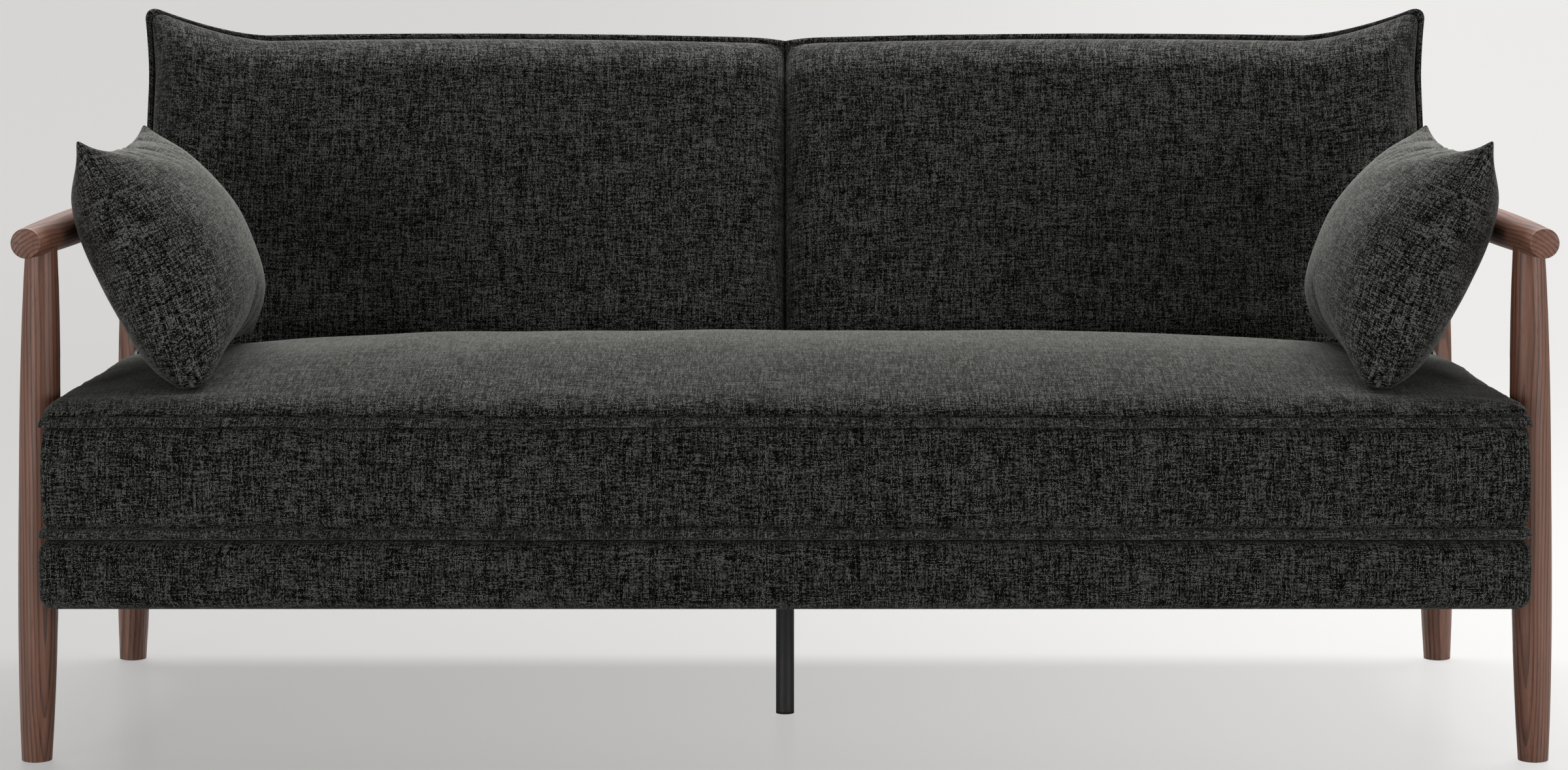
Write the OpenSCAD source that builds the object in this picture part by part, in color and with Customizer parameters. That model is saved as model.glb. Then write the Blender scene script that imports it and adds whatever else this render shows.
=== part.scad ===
// Sofa bed: two turned side frames carry an upholstered base, a crowned seat and a backrest
// that folds down flat behind the seat on a pair of click hinges. Two throw pillows lean on
// the arms. Front faces -Y, +Z is up, and the origin is on the floor under the centre leg.

/* [Side frames] */
// Height of the arm bar's axis above the floor
arm_z = 652; // [610:1:700]
// Diameter of the arm bar at its cut ends
arm_end_d = 37; // [32:0.5:42]
// Diameter of the arm bar at its middle
arm_mid_d = 46; // [40:0.5:52]
// How far the arm bar reaches ahead of the front leg's axis
arm_overhang = 93; // [70:1:110]
// How far the arm bar reaches behind the rear leg's axis
arm_tail = 76; // [60:1:100]
// Distance between the front and rear leg axes
leg_pitch = 653; // [630:1:665]
// Diameter of a leg at the floor
leg_foot_d = 37; // [30:0.5:44]
// Largest diameter of a leg
leg_mid_d = 50; // [46:0.5:54]
// Diameter of a leg under the arm bar
leg_top_d = 38; // [34:0.5:40]
// Outward lean of each leg towards the floor, in degrees
leg_splay = 1.4; // [0:0.1:2]
// How deep a leg presses into the padding on the base's side
leg_press = 4; // [2:0.5:5]
// Diameter of the tenon that joins a leg to the arm bar
tenon_d = 20; // [16:0.5:24]
// How far the tenon reaches into the arm bar
tenon_len = 22; // [16:0.5:26]
// Edge rounding on the cut ends of the wood
wood_round = 3; // [1:0.5:5]
// Diameter of the glide let into each foot
glide_d = 24; // [16:1:28]
// Thickness of a glide
glide_t = 4; // [3:0.5:6]
// How far a glide stands out of the wood
glide_proud = 1.5; // [1:0.5:2.5]
// Diameter of the bolts that hold the legs to the base
leg_bolt_d = 8; // [6:1:10]
// Distance between the two bolts of a leg
leg_bolt_pitch = 36; // [30:1:44]
// How far a leg bolt reaches into the leg
leg_bolt_grip = 24; // [18:1:30]

/* [Base] */
// Width of the upholstered base
base_w = 1804; // [1500:1:2100]
// Distance from the centre leg's axis to the front of the base
base_front = 400; // [385:1:415]
// Distance from the centre leg's axis to the back of the base
base_rear = 418; // [410:1:428]
// Distance from the back of the base to the rear leg's axis
rear_leg_inset = 52; // [47:1:60]
// Clear height under the base
base_clear = 208; // [180:1:240]
// Height of the base
base_h = 86; // [76:1:100]
// Thickness of the padding on the base's sides
side_pad = 9; // [7:0.5:12]
// Thickness of the padding under the base's rails
under_pad = 7; // [5:0.5:9]
// Rounding of the base's corners and edges
base_round = 16; // [12:1:18]
// Thickness of the base's rails
rail_t = 24; // [20:1:30]
// Width of the three cross rails
cross_w = 50; // [40:1:70]
// Thickness of the deck board behind the seat
deck_t = 12; // [9:1:15]
// Leg length of a corner block
block_leg = 70; // [50:1:90]
// Wire diameter of the seat springs
spring_wire = 3.6; // [3:0.1:4.5]
// Number of seat springs
spring_count = 11; // [7:1:14]
// Width of a seat spring
spring_w = 50; // [40:1:60]
// Thickness of the felt over the springs
felt_t = 3; // [2:0.5:5]
// Thickness of the dust cover
dust_t = 1; // [0.6:0.1:1.5]

/* [Centre leg] */
// Diameter of the steel tube
tube_d = 24; // [20:1:32]
// Wall of the steel tube
tube_wall = 1.5; // [1:0.1:2.5]
// Side of the square mounting plate
plate_side = 80; // [70:1:96]
// Thickness of the mounting plate
plate_t = 4; // [3:0.5:6]
// Spacing of the plate's screws
plate_screw_pitch = 60; // [50:1:64]
// Diameter of the plate's screws
screw_d = 5; // [4:0.5:6]
// Height of the foot cap
cap_h = 14; // [10:1:20]

/* [Seat cushion] */
// Height of the seat's top seam above the base
seat_h = 146; // [120:1:170]
// Rise of the crown above the top seam
seat_crown = 60; // [40:1:70]
// Height of the seam bands
seam_h = 11; // [8:1:14]
// How far a seam band stands out from the boxing
seam_out = 8; // [5:0.5:10]

/* [Backrest] */
// Height of the backrest from the hinge axis to its top seam
back_h = 478; // [430:1:520]
// Lean of the backrest from the vertical, in degrees
recline = 18; // [14:0.5:22]
// Rise of the front crown above the seam
back_crown = 55; // [45:1:62]
// Distance from the seam to the rear face
back_body = 70; // [64:1:80]
// Depth of the channel down the middle of the backrest
channel_depth = 26; // [15:1:32]
// Rise of the ears at the top corners
ear_rise = 46; // [20:1:52]
// Sideways flare of the ears
ear_flare = 11; // [4:1:12]
// Height of the seam band round the backrest
back_seam_out = 8; // [6:0.5:10]
// Thickness of the backrest's frame rails
frame_t = 30; // [26:1:34]
// Width of the frame rails
frame_w = 55; // [45:1:65]
// Number of webbing straps across the frame
web_count = 5; // [3:1:6]

/* [Click hinges] */
// Height of the hinge axis above the base
hinge_h = 136; // [128:1:142]
// Distance from the seat's rear edge to the hinge axis
hinge_gap = 34; // [32:1:40]
// Distance from the rear leg's axis forward to the hinge axis
hinge_ahead = 166; // [150:1:175]
// Travel of the backrest from sofa to bed, in degrees
fold = 72; // [68:0.5:76]
// Thickness of the bracket and arm plates
hinge_t = 4; // [3:0.5:4]
// Width of the hinge arm's strap
strap_w = 32; // [26:1:34]
// Thickness of the ratchet disc and the pawl
disc_t = 3.6; // [3:0.1:4]
// Radius of the ratchet disc
disc_r = 32; // [30:0.5:34]
// Depth of the ratchet's notches
notch_depth = 5; // [4:0.5:6]
// Diameter of the hinge pin
pin_d = 10; // [8:0.5:12]
// Lift of the pawl off the ratchet, in degrees
pawl_lift = 8; // [7:0.5:10]
// Running clearance on the hinge pins
pin_play = 0.05; // [0.02:0.01:0.08]
// Sideways gap between the hinge's moving plates
plate_gap = 0.4; // [0.3:0.1:0.6]

/* [Throw pillows] */
// Length of a pillow along the arm
pillow_l = 465; // [420:1:490]
// Height of a pillow along its lean
pillow_w = 333; // [315:1:350]
// Bulge of a pillow towards the seat
pillow_in = 86; // [70:1:98]
// Bulge of a pillow towards the arm
pillow_out = 90; // [70:1:96]
// Lean of a pillow from the vertical, in degrees
pillow_lean = 25.5; // [23:0.5:28]
// Rise of a pillow's lower edge towards the backrest, in degrees
pillow_roll = 1.4; // [0:0.1:2]
// How far a pillow's edges draw in between its corners, as a share
pillow_draw = 0.09; // [0.04:0.01:0.1]
// How far a pillow's upper rear corner hangs
pillow_hang = 18; // [0:1:24]

/* [Hidden] */

// Smoothness of the true round surfaces
$fn = 48;
// Gap between a soft piece and its neighbour
soft_gap = 0.3;
// Radial clearance round bolts and screws
bolt_play = 0.3;
// Radial clearance of a glued tenon or a driven pin
tight_play = 0.05;
// Number of steps along a turned profile
turn_steps = 14;

// Colours of the finishes
walnut = [0.36, 0.24, 0.19];
beech = [0.76, 0.62, 0.45];
ply = [0.80, 0.68, 0.50];
charcoal = [0.20, 0.20, 0.20];
lining = [0.10, 0.10, 0.10];
steel = [0.60, 0.61, 0.63];
black_steel = [0.07, 0.07, 0.08];
foam_white = [0.90, 0.88, 0.78];
fibre_white = [0.93, 0.93, 0.91];
rubber_black = [0.05, 0.05, 0.05];

// Levels and half widths of the base
base_top = base_clear + base_h;
base_half = base_w / 2;
rail_bottom = base_clear + under_pad;
rail_top = base_top - spring_wire - felt_t - 0.4;
rail_h = rail_top - rail_bottom;
rail_out = base_half - side_pad;
rail_front = -base_front + side_pad;
rail_rear = base_rear - side_pad;

// Legs: the axis leans, and the leg presses into the base's side at its upper edge
leg_slope = tan(leg_splay);
leg_swell_z = 0.52 * arm_z;
leg_taper = 2.9;
leg_top_z = arm_z - 6;
leg_touch_z = base_top - base_round;
function leg_r(z) = z < leg_swell_z
    ? leg_mid_d / 2 - (leg_mid_d - leg_foot_d) / 2 * pow(1 - z / leg_swell_z, leg_taper)
    : leg_mid_d / 2 - (leg_mid_d - leg_top_d) / 2
        * pow(min(1, (z - leg_swell_z) / (leg_top_z - leg_swell_z)), leg_taper);
function leg_axis_x(z) = base_half - leg_press + leg_r(leg_touch_z) / cos(leg_splay)
    + (leg_touch_z - z) * leg_slope;
function leg_inner_x(z) = leg_axis_x(z) - leg_r(z) / cos(leg_splay);
rear_leg_y = base_rear - rear_leg_inset;
front_leg_y = rear_leg_y - leg_pitch;
bolt_head_d = 1.9 * leg_bolt_d;
bolt_head_h = 0.6 * leg_bolt_d;
wrench_gap = 2;

// Arm bar
arm_taper = 2.5;
arm_len = arm_overhang + leg_pitch + arm_tail;
arm_y0 = front_leg_y - arm_overhang;
function arm_r(y) = let (s = abs(2 * (y - arm_y0) / arm_len - 1))
    arm_mid_d / 2 - (arm_mid_d - arm_end_d) / 2 * pow(min(1, s), arm_taper);
arm_x = leg_axis_x(arm_z);

// Hinge axis, and the seat's rear edge in front of it
hinge_y = rear_leg_y - hinge_ahead;
hinge_z = base_top + hinge_h;
seat_y0 = -base_front - 3;
seat_y1 = hinge_y - hinge_gap;
seat_rail_y1 = seat_y1 + 6;
seat_rail_drop = 40;
cross_y0 = rail_front + rail_t;
cross_y1 = rail_rear - rail_t;
cross_top = rail_top - deck_t;
leg_bolt_z = [(rail_bottom + cross_top - leg_bolt_pitch) / 2,
              (rail_bottom + cross_top + leg_bolt_pitch) / 2];
cross_x = base_half / 3;
spring_y0 = rail_front + rail_t / 2;
spring_y1 = seat_rail_y1 - rail_t / 2;

// Hinge stack, from the outside in
bracket_x1 = rail_out;
bracket_x0 = bracket_x1 - hinge_t;
disc_x1 = bracket_x0 - plate_gap;
disc_x0 = disc_x1 - disc_t;
arm_plate_x1 = disc_x0;
arm_plate_x0 = arm_plate_x1 - hinge_t;
pin_head_t = 3;
pin_head_d = 1.8 * pin_d;
back_low_half = arm_plate_x0 - plate_gap - pin_head_t - 2.5;

// Pawl: its pin, its nose and its spring, in the ratchet's radial and tangential directions
nose_angle = -80;
pawl_reach = 36.8;
pawl_radial = disc_r + 4.7;
pawl_pin_d = 6;
pawl_eye_r = 9;
nose_w = 8;
leaf_t = 1;
anchor_d = 7;
anchor_t = pawl_reach + 37;
anchor_r = disc_r + 1;
function ratchet_point(radial, tangent) = [
    radial * cos(nose_angle) - tangent * sin(nose_angle),
    radial * sin(nose_angle) + tangent * cos(nose_angle)];
pawl_pin = ratchet_point(pawl_radial, pawl_reach);
anchor_pin = ratchet_point(anchor_r, anchor_t);

// Backrest frame, in the backrest's own upright frame from the hinge axis
back_u0 = -5;
back_lift = back_u0 + 11;
frame_v0 = 26;
frame_u1 = back_h - 20;
frame_out = back_low_half - back_seam_out - 6;
web_t = 2;
slab_v = -26;
ear_drop = 120;
ear_reach = 170;
back_roll = 62;
channel_half = 46;
channel_roll = 40;
slab_margin = 33;

// Hinge arm: a strap on the stile's side, which lies on the stop pin when the bed is flat
strap_mid = frame_v0 + frame_t / 2;
strap_r = strap_w / 2;
arm_bolt_u = [97, 134];
arm_knee_u = 64;
arm_eye_r = 24;
arm_bolt_d = 6;
stop_d = 9;
stop_y = 80;
stop_z = stop_y / tan(fold + recline)
    - (strap_mid + strap_r + soft_gap + stop_d / 2) / sin(fold + recline);

// Pillows
pillow_y = (seat_y0 + seat_y1) / 2 + 19;
pillow_rise = 190.1;
pillow_z = base_top + seat_h + pillow_rise;
pillow_inset = 117;
pillow_x = base_half - pillow_inset;
pillow_shear = 0.09;
pillow_curl = 4;

// One half of the sofa is built on +X and mirrored for the other side
module side(left) { if (left) mirror([1, 0, 0]) children(); else children(); }
module both_sides() { side(false) children(); side(true) children(); }

// A closed pad from a grid, loops round its edge, and a flat face or a second grid.
// The grid's and the loops' functions take s and t from -1 to 1 and give a point.
function rim(ni, nj) = concat(
    [for (i = [0:ni - 1]) [i, 0]], [for (j = [0:nj - 1]) [ni, j]],
    [for (i = [ni:-1:1]) [i, nj]], [for (j = [nj:-1:1]) [0, j]]);
function grid_points(ss, ts, f) = [for (t = ts) for (s = ss) f(s, t)];
function grid_faces(ni, nj, start, turned) = [
    for (j = [0:nj - 1]) for (i = [0:ni - 1])
        let (a = start + j * (ni + 1) + i, b = a + 1, d = a + ni + 1, c = d + 1)
        each (turned ? [[a, b, c], [a, c, d]] : [[a, c, b], [a, d, c]])];
function strip_faces(upper, lower) = [
    for (m = [0:len(upper) - 1])
        let (n = (m + 1) % len(upper))
        each [[upper[m], upper[n], lower[n]], [upper[m], lower[n], lower[m]]]];
module pad(ss, ts, front, loops, rear) {
    ni = len(ss) - 1;
    nj = len(ts) - 1;
    edge = rim(ni, nj);
    count = len(edge);
    size = (ni + 1) * (nj + 1);
    rear_start = size + len(loops) * count;
    front_rim = [for (e = edge) e[1] * (ni + 1) + e[0]];
    rings = concat([front_rim],
        [for (k = [0:len(loops) - 1]) [for (m = [0:count - 1]) size + k * count + m]],
        is_undef(rear) ? [] : [[for (m = front_rim) rear_start + m]]);
    last = rings[len(rings) - 1];
    loop_points = [for (loop = loops) for (e = edge) loop(ss[e[0]], ts[e[1]])];
    hub = (loops[len(loops) - 1](-1, -1) + loops[len(loops) - 1](1, 1)) / 2;
    points = concat(grid_points(ss, ts, front), loop_points,
        is_undef(rear) ? [hub] : grid_points(ss, ts, rear));
    faces = concat(grid_faces(ni, nj, 0, false),
        [for (k = [0:len(rings) - 2]) each strip_faces(rings[k], rings[k + 1])],
        is_undef(rear) ? [for (m = [0:count - 1]) [last[m], last[(m + 1) % count], rear_start]]
                       : grid_faces(ni, nj, rear_start, true));
    polyhedron(points = points, faces = faces, convexity = 6);
}
// Values from -1 to 1 that lie closer together near the ends
function eased(n) = [for (i = [0:n]) -cos(180 * i / n)];
// The same for two halves side by side, for a pad with a channel down its middle
function eased_pair(n) = concat([for (i = [0:n]) -0.5 - 0.5 * cos(180 * i / n)],
    [for (i = [1:n]) 0.5 - 0.5 * cos(180 * i / n)]);
// Rise of a rolled edge at a distance from it
function roll(distance, radius) =
    sqrt(max(0, 1 - pow(1 - min(1, max(0, distance) / radius), 2)));

// Turned wooden pieces
function leg_profile() = concat([[0, glide_proud]],
    [for (i = [0:turn_steps]) let (z = glide_proud + (leg_top_z - glide_proud) * i / turn_steps)
        [leg_r(z), z]],
    [[0, leg_top_z]]);
module leg_axis(y) {
    translate([leg_axis_x(0), y, 0]) rotate([0, -leg_splay, 0]) children();
}
module tenon(y, play) {
    leg_axis(y) translate([0, 0, arm_z - arm_r(y) - 6])
        cylinder(d = tenon_d + 2 * play, h = 6 + tenon_len + play);
}
module leg_bolt_holes(y, play) {
    for (z = leg_bolt_z) translate([rail_out - rail_t, y, z]) rotate([0, 90, 0])
        cylinder(d = leg_bolt_d + 2 * play, h = rail_t + side_pad - leg_press + leg_bolt_grip + play);
}
module arm_blank() {
    y1 = arm_len;
    corner = [for (a = [0:30:90]) [wood_round * (sin(a) - 1), wood_round * (1 - cos(a))]];
    profile = concat([[0, 0]],
        [for (c = corner) [arm_end_d / 2 + c[0], c[1]]],
        [for (i = [1:turn_steps - 1]) [arm_r(arm_y0 + arm_len * i / turn_steps),
            arm_len * i / turn_steps]],
        [for (k = [3:-1:0]) [arm_end_d / 2 + corner[k][0], y1 - corner[k][1]]],
        [[0, y1]]);
    translate([arm_x, arm_y0, arm_z]) rotate([-90, 0, 0]) rotate_extrude() polygon(profile);
}
module leg(left, y) {
    color(walnut) side(left) {
        difference() {
            leg_axis(y) rotate_extrude() polygon(leg_profile());
            arm_blank();
            leg_bolt_holes(y, tight_play);
            leg_axis(y) translate([0, 0, glide_proud - 1])
                cylinder(d = glide_d + 2 * tight_play,
                    h = glide_t - glide_proud + 1 + glide_d / 2 * leg_slope + tight_play);
            translate([base_half, y - leg_mid_d, -leg_mid_d + glide_proud])
                cube([2 * leg_mid_d, 2 * leg_mid_d, leg_mid_d]);
        }
        tenon(y, 0);
    }
}
module arm_bar(left) {
    color(walnut) side(left) difference() {
        arm_blank();
        tenon(front_leg_y, tight_play);
        tenon(rear_leg_y, tight_play);
    }
}
module leg_glides() {
    color(rubber_black) both_sides() for (y = [front_leg_y, rear_leg_y])
        translate([leg_axis_x(0), y, 0]) cylinder(d = glide_d - 2, h = glide_t);
}
module leg_bolts() {
    color(steel) both_sides() for (y = [front_leg_y, rear_leg_y]) {
        leg_bolt_holes(y, 0);
        for (z = leg_bolt_z) translate([rail_out - rail_t, y, z]) rotate([0, -90, 0]) difference() {
            cylinder(d = bolt_head_d, h = bolt_head_h);
            translate([0, 0, bolt_head_h / 2]) cylinder(d = 5.8, h = bolt_head_h, $fn = 6);
        }
    }
}

// Base frame
module cross_board(y, h_top) {
    translate([-rail_out, y, rail_bottom]) cube([2 * rail_out, rail_t, h_top - rail_bottom]);
}
module front_rail() { color(beech) cross_board(rail_front, rail_top); }
module rear_rail() { color(beech) cross_board(rail_rear - rail_t, rail_top); }
module seat_rear_rail() {
    color(beech) difference() {
        translate([-rail_out + rail_t, seat_rail_y1 - rail_t, cross_top - seat_rail_drop])
            cube([2 * (rail_out - rail_t), rail_t, rail_top - cross_top + seat_rail_drop]);
        for (x = [-cross_x, 0, cross_x]) translate([x - cross_w / 2, cross_y0, base_clear])
            cube([cross_w, cross_y1 - cross_y0, cross_top - base_clear]);
    }
}
module side_rail(left) {
    color(beech) side(left) difference() {
        translate([rail_out - rail_t, cross_y0, rail_bottom])
            cube([rail_t, cross_y1 - cross_y0, rail_h]);
        leg_bolt_holes(front_leg_y, bolt_play);
        leg_bolt_holes(rear_leg_y, bolt_play);
        bracket_screw_holes(bolt_play);
    }
}
module cross_rails() {
    color(beech) difference() {
        for (x = [-cross_x, 0, cross_x])
            translate([x - cross_w / 2, cross_y0, base_clear])
                cube([cross_w, cross_y1 - cross_y0, cross_top - base_clear]);
        centre_screw_holes(tight_play);
    }
}
// The blocks stop below the upper leg bolts, and a bore leaves room for a lower bolt's head
module corner_blocks() {
    inner_x = rail_out - rail_t;
    z0 = rail_bottom + 4;
    color(beech) both_sides() difference() {
        for (end = [-1, 1])
            translate([inner_x, end < 0 ? cross_y0 : cross_y1, z0])
                linear_extrude(leg_bolt_z[1] - bolt_head_d / 2 - wrench_gap - z0)
                    polygon([[0, 0], [-block_leg, 0], [-block_leg, -8 * end], [-8, -block_leg * end],
                        [0, -block_leg * end]]);
        for (y = [front_leg_y, rear_leg_y])
            translate([inner_x - block_leg - 1, y, leg_bolt_z[0]]) rotate([0, 90, 0])
                cylinder(d = bolt_head_d + 2 * wrench_gap, h = block_leg + 2);
    }
}
module deck_board() {
    color(ply) translate([-rail_out + rail_t, seat_rail_y1, cross_top])
        cube([2 * (rail_out - rail_t), cross_y1 - seat_rail_y1, deck_t]);
}
// A seat spring is a flat wave of wire, drawn as a strip of its thickness along the wave
wave_pitch = 46;
wave_steps = 8;
function spring_waves() = floor((spring_y1 - spring_y0) / wave_pitch);
function wave(y, offset) = let (
    turns = spring_waves() * 360 / (spring_y1 - spring_y0),
    a = (y - spring_y0) * turns,
    amp = (spring_w - spring_wire) / 2,
    slope = amp * turns * PI / 180 * cos(a),
    size = sqrt(1 + slope * slope))
    [amp * sin(a) + offset / size, y - offset * slope / size];
module seat_spring() {
    count = spring_waves() * wave_steps;
    ys = [for (i = [0:count]) spring_y0 + (spring_y1 - spring_y0) * i / count];
    outline = concat([for (y = ys) wave(y, spring_wire / 2)],
        [for (i = [count:-1:0]) wave(ys[i], -spring_wire / 2)]);
    translate([0, 0, rail_top]) linear_extrude(spring_wire) polygon(outline);
}
spring_side = 40;
module seat_springs() {
    span = 2 * (rail_out - rail_t) - spring_w - spring_side;
    color(steel) for (i = [0:spring_count - 1])
        translate([-span / 2 + span * i / (spring_count - 1), 0, 0]) seat_spring();
}
module spring_felt() {
    color(lining) translate([-rail_out + rail_t, cross_y0, rail_top + spring_wire])
        cube([2 * (rail_out - rail_t), seat_rail_y1 - rail_t - cross_y0, felt_t]);
}
// The base's cover wraps the rails and closes the deck behind the seat
module base_cover() {
    half = [base_half, (base_front + base_rear) / 2];
    mid_y = (base_rear - base_front) / 2;
    arc = [for (a = [0:22.5:90]) [base_round * (1 - sin(a)), base_round * (1 - cos(a))]];
    corners = [[1, -1, -90], [1, 1, 0], [-1, 1, 90], [-1, -1, 180]];
    function ring(inset, z) = [for (c = corners) for (a = [0:18:90])
        [c[0] * (half[0] - base_round) + (base_round - inset) * cos(c[2] + a),
         mid_y + c[1] * (half[1] - base_round) + (base_round - inset) * sin(c[2] + a), z]];
    rings = concat(
        [for (k = [0:len(arc) - 1]) ring(min(arc[k][0], base_round - 2), base_clear + arc[k][1])],
        [for (k = [len(arc) - 1:-1:0]) ring(min(arc[k][0], base_round - 2), base_top - arc[k][1])]);
    n = len(rings[0]);
    last = len(rings) - 1;
    color(charcoal) difference() {
        polyhedron(points = [for (r = rings) each r],
            faces = concat([[for (m = [0:n - 1]) m]],
                [for (k = [0:last - 1]) each strip_faces([for (m = [0:n - 1]) (k + 1) * n + m],
                    [for (m = [0:n - 1]) k * n + m])],
                [[for (m = [n - 1:-1:0]) last * n + m]]), convexity = 4);
        translate([-rail_out, rail_front, rail_bottom])
            cube([2 * rail_out, rail_rear - rail_front, rail_h]);
        translate([-rail_out + rail_t, cross_y0, base_clear - 1])
            cube([2 * (rail_out - rail_t), cross_y1 - cross_y0, base_h / 2]);
        translate([-rail_out + rail_t, spring_y0 - 2, rail_top - 1])
            cube([2 * (rail_out - rail_t), spring_y1 - spring_y0 + 4, base_h]);
        both_sides() {
            for (y = [front_leg_y, rear_leg_y]) {
                leg_bolt_holes(y, bolt_play);
                leg_axis(y) translate([0, 0, base_clear - 10])
                    cylinder(d = leg_mid_d + 2 * soft_gap, h = base_h + 20);
            }
            bracket_screw_holes(bolt_play);
        }
    }
}
// The dust cover closes the underside, and the centre leg's plate is screwed on over it
module dust_cover() {
    edge = base_round + 4;
    color(lining) difference() {
        translate([-base_half + edge, -base_front + edge, base_clear - dust_t])
            cube([2 * (base_half - edge), base_front + base_rear - 2 * edge, dust_t]);
        centre_screw_holes(bolt_play);
    }
}

// Centre leg, on the floor at the origin
centre_plate_z = base_clear - dust_t - plate_t;
module centre_screw_holes(play) {
    for (x = [-1, 1]) for (y = [-1, 1])
        translate([x * plate_screw_pitch * 0.36, y * plate_screw_pitch / 2, centre_plate_z])
            cylinder(d = screw_d + 2 * play, h = plate_t + dust_t + 30 + play, $fn = 24);
}
module centre_leg() {
    color(black_steel) difference() {
        translate([0, 0, 3]) cylinder(d = tube_d, h = centre_plate_z - 3);
        translate([0, 0, 2]) cylinder(d = tube_d - 2 * tube_wall, h = centre_plate_z);
    }
}
module centre_leg_plate() {
    side_x = plate_side * 0.62;
    color(black_steel) difference() {
        translate([-side_x / 2, -plate_side / 2, centre_plate_z]) cube([side_x, plate_side, plate_t]);
        centre_screw_holes(bolt_play);
    }
}
module centre_leg_screws() {
    color(steel) {
        centre_screw_holes(0);
        for (x = [-1, 1]) for (y = [-1, 1])
            translate([x * plate_screw_pitch * 0.36, y * plate_screw_pitch / 2, centre_plate_z - 3])
                cylinder(d1 = screw_d, d2 = 1.9 * screw_d, h = 3, $fn = 24);
    }
}
module centre_leg_cap() {
    bore = tube_d - 2 * tube_wall;
    color(rubber_black) {
        cylinder(d = tube_d, h = 3);
        translate([0, 0, 3]) cylinder(d = bore - 0.2, h = cap_h - 3);
    }
}

// Seat cushion: a boxed cushion with a seam band at top and bottom
seat_mid_y = (seat_y0 + seat_y1) / 2;
seat_half_y = (seat_y1 - seat_y0) / 2;
seat_z0 = base_top + soft_gap;
seat_seam_z = seat_z0 + seat_h;
seat_top_half = leg_inner_x(seat_seam_z + seam_h) - 1.5;
seat_low_half = leg_inner_x(seat_z0 + seam_h) - 1;
crest = 0.4;
function seat_rise(s, t) = seat_crown
    * (0.72 * pow(max(0, 1 - pow(abs(s), 16)), 0.5) + 0.28 * max(0, 1 - s * s))
    * (t < crest ? pow(max(0, 1 - pow((crest - t) / (1 + crest), 1.9)), 0.56)
                 : pow(max(0, 1 - pow((t - crest) / (1 - crest), 4)), 0.5));
function seat_half(z) = seat_low_half
    + (seat_top_half - seat_low_half) * (z - seat_z0) / (seat_seam_z - seat_z0);
function seat_point(s, t, inset, z) = [s * (seat_half(z) - inset),
    seat_mid_y + t * (seat_half_y - inset), z];
function seat_loops(out) = [
    function(s, t) seat_point(s, t, 0.1 * out, seat_seam_z + 0.25 * seam_h),
    function(s, t) seat_point(s, t, 0, seat_seam_z - 0.55 * seam_h),
    function(s, t) seat_point(s, t, out, seat_seam_z - 0.6 * seam_h),
    function(s, t) seat_point(s, t, 0.45 * out, seat_seam_z - 0.28 * seat_h),
    function(s, t) seat_point(s, t, 0.3 * out, seat_seam_z - 0.52 * seat_h),
    function(s, t) seat_point(s, t, 0.45 * out, seat_z0 + 0.28 * seat_h),
    function(s, t) seat_point(s, t, out, seat_z0 + 1.15 * seam_h),
    function(s, t) seat_point(s, t, 0, seat_z0 + 1.1 * seam_h),
    function(s, t) seat_point(s, t, 0.2 * out, seat_z0 + 0.1 * seam_h),
    function(s, t) seat_point(s, t, 1.2 * out, seat_z0)];
// The foam slab under the crown
module seat_slab(gap) {
    x = seat_top_half - seam_out - 16 - gap;
    y = seat_half_y - seam_out - 16 - gap;
    z = seat_z0 + 6 + gap;
    translate([-x, seat_mid_y - y, z]) cube([2 * x, 2 * y, seat_seam_z - 4 - gap - z]);
}
module seat_cover() {
    color(charcoal) difference() {
        pad(eased(26), eased(12),
            function(s, t) seat_point(s, t, seam_out, seat_seam_z + seam_h / 2)
                + [0, 0, seat_rise(s, t) - seam_h / 2 * max(abs(s), abs(t))],
            seat_loops(seam_out));
        seat_slab(0);
    }
}
module seat_foam() { color(foam_white) seat_slab(soft_gap); }

// Backrest, drawn upright about the hinge axis: X across, Y to the rear, Z up
module backrest() {
    translate([0, hinge_y, hinge_z]) rotate([-recline, 0, 0]) children();
}
back_wide_half = back_low_half + 14;
function ear(distance, reach) = pow(max(0, 1 - distance / reach), 1.6);
function back_half(u) = back_low_half + (back_wide_half - back_low_half)
    * pow(min(1, max(0, u / (0.7 * back_h))), 1.5)
    + ear_flare * ear(back_h + ear_rise - u, ear_drop);
function back_top(s) = back_h - 4 * pow(1 - min(1, abs(s) / 0.06), 2)
    + 7 * (1 - pow(2 * abs(s) - 1, 2)) + ear_rise * ear((1 - abs(s)) * back_wide_half, ear_reach);
function back_point(s, t, inset, v) = let (
    top = back_top(s) - inset,
    low = back_u0 + inset,
    u = low + (t + 1) / 2 * (top - low))
    [s * (back_half(u) - inset), v, u];
function back_rise(s, t) = let (
    p = back_point(s, t, 0, 0),
    across = (1 - abs(s)) * back_wide_half,
    up = p[2] - back_u0,
    down = back_top(s) - p[2])
    pow(roll(across, back_roll) * roll(min(up, down), back_roll), 1.55)
        * (back_crown - 7 * pow(2 * abs(s) - 1, 2))
    - channel_depth * pow(max(0, 1 - abs(p[0]) / channel_half), 2.2)
        * roll(down, channel_roll) * roll(up, channel_roll);
module back_cover() {
    out = back_seam_out;
    color(charcoal) backrest() difference() {
        pad(eased_pair(15), eased(12),
            function(s, t) back_point(s, t, out, -3) - [0, back_rise(s, t), 0],
            [function(s, t) back_point(s, t, 0, -2),
             function(s, t) back_point(s, t, 0, 2),
             function(s, t) back_point(s, t, out, 3),
             function(s, t) back_point(s, t, 0.6 * out, 0.5 * back_body),
             function(s, t) back_point(s, t, out, back_body - 9),
             function(s, t) back_point(s, t, 2 * out, back_body)]);
        back_slab(0);
        frame_room();
        both_sides() arm_bolt_holes(bolt_play);
    }
}
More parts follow.
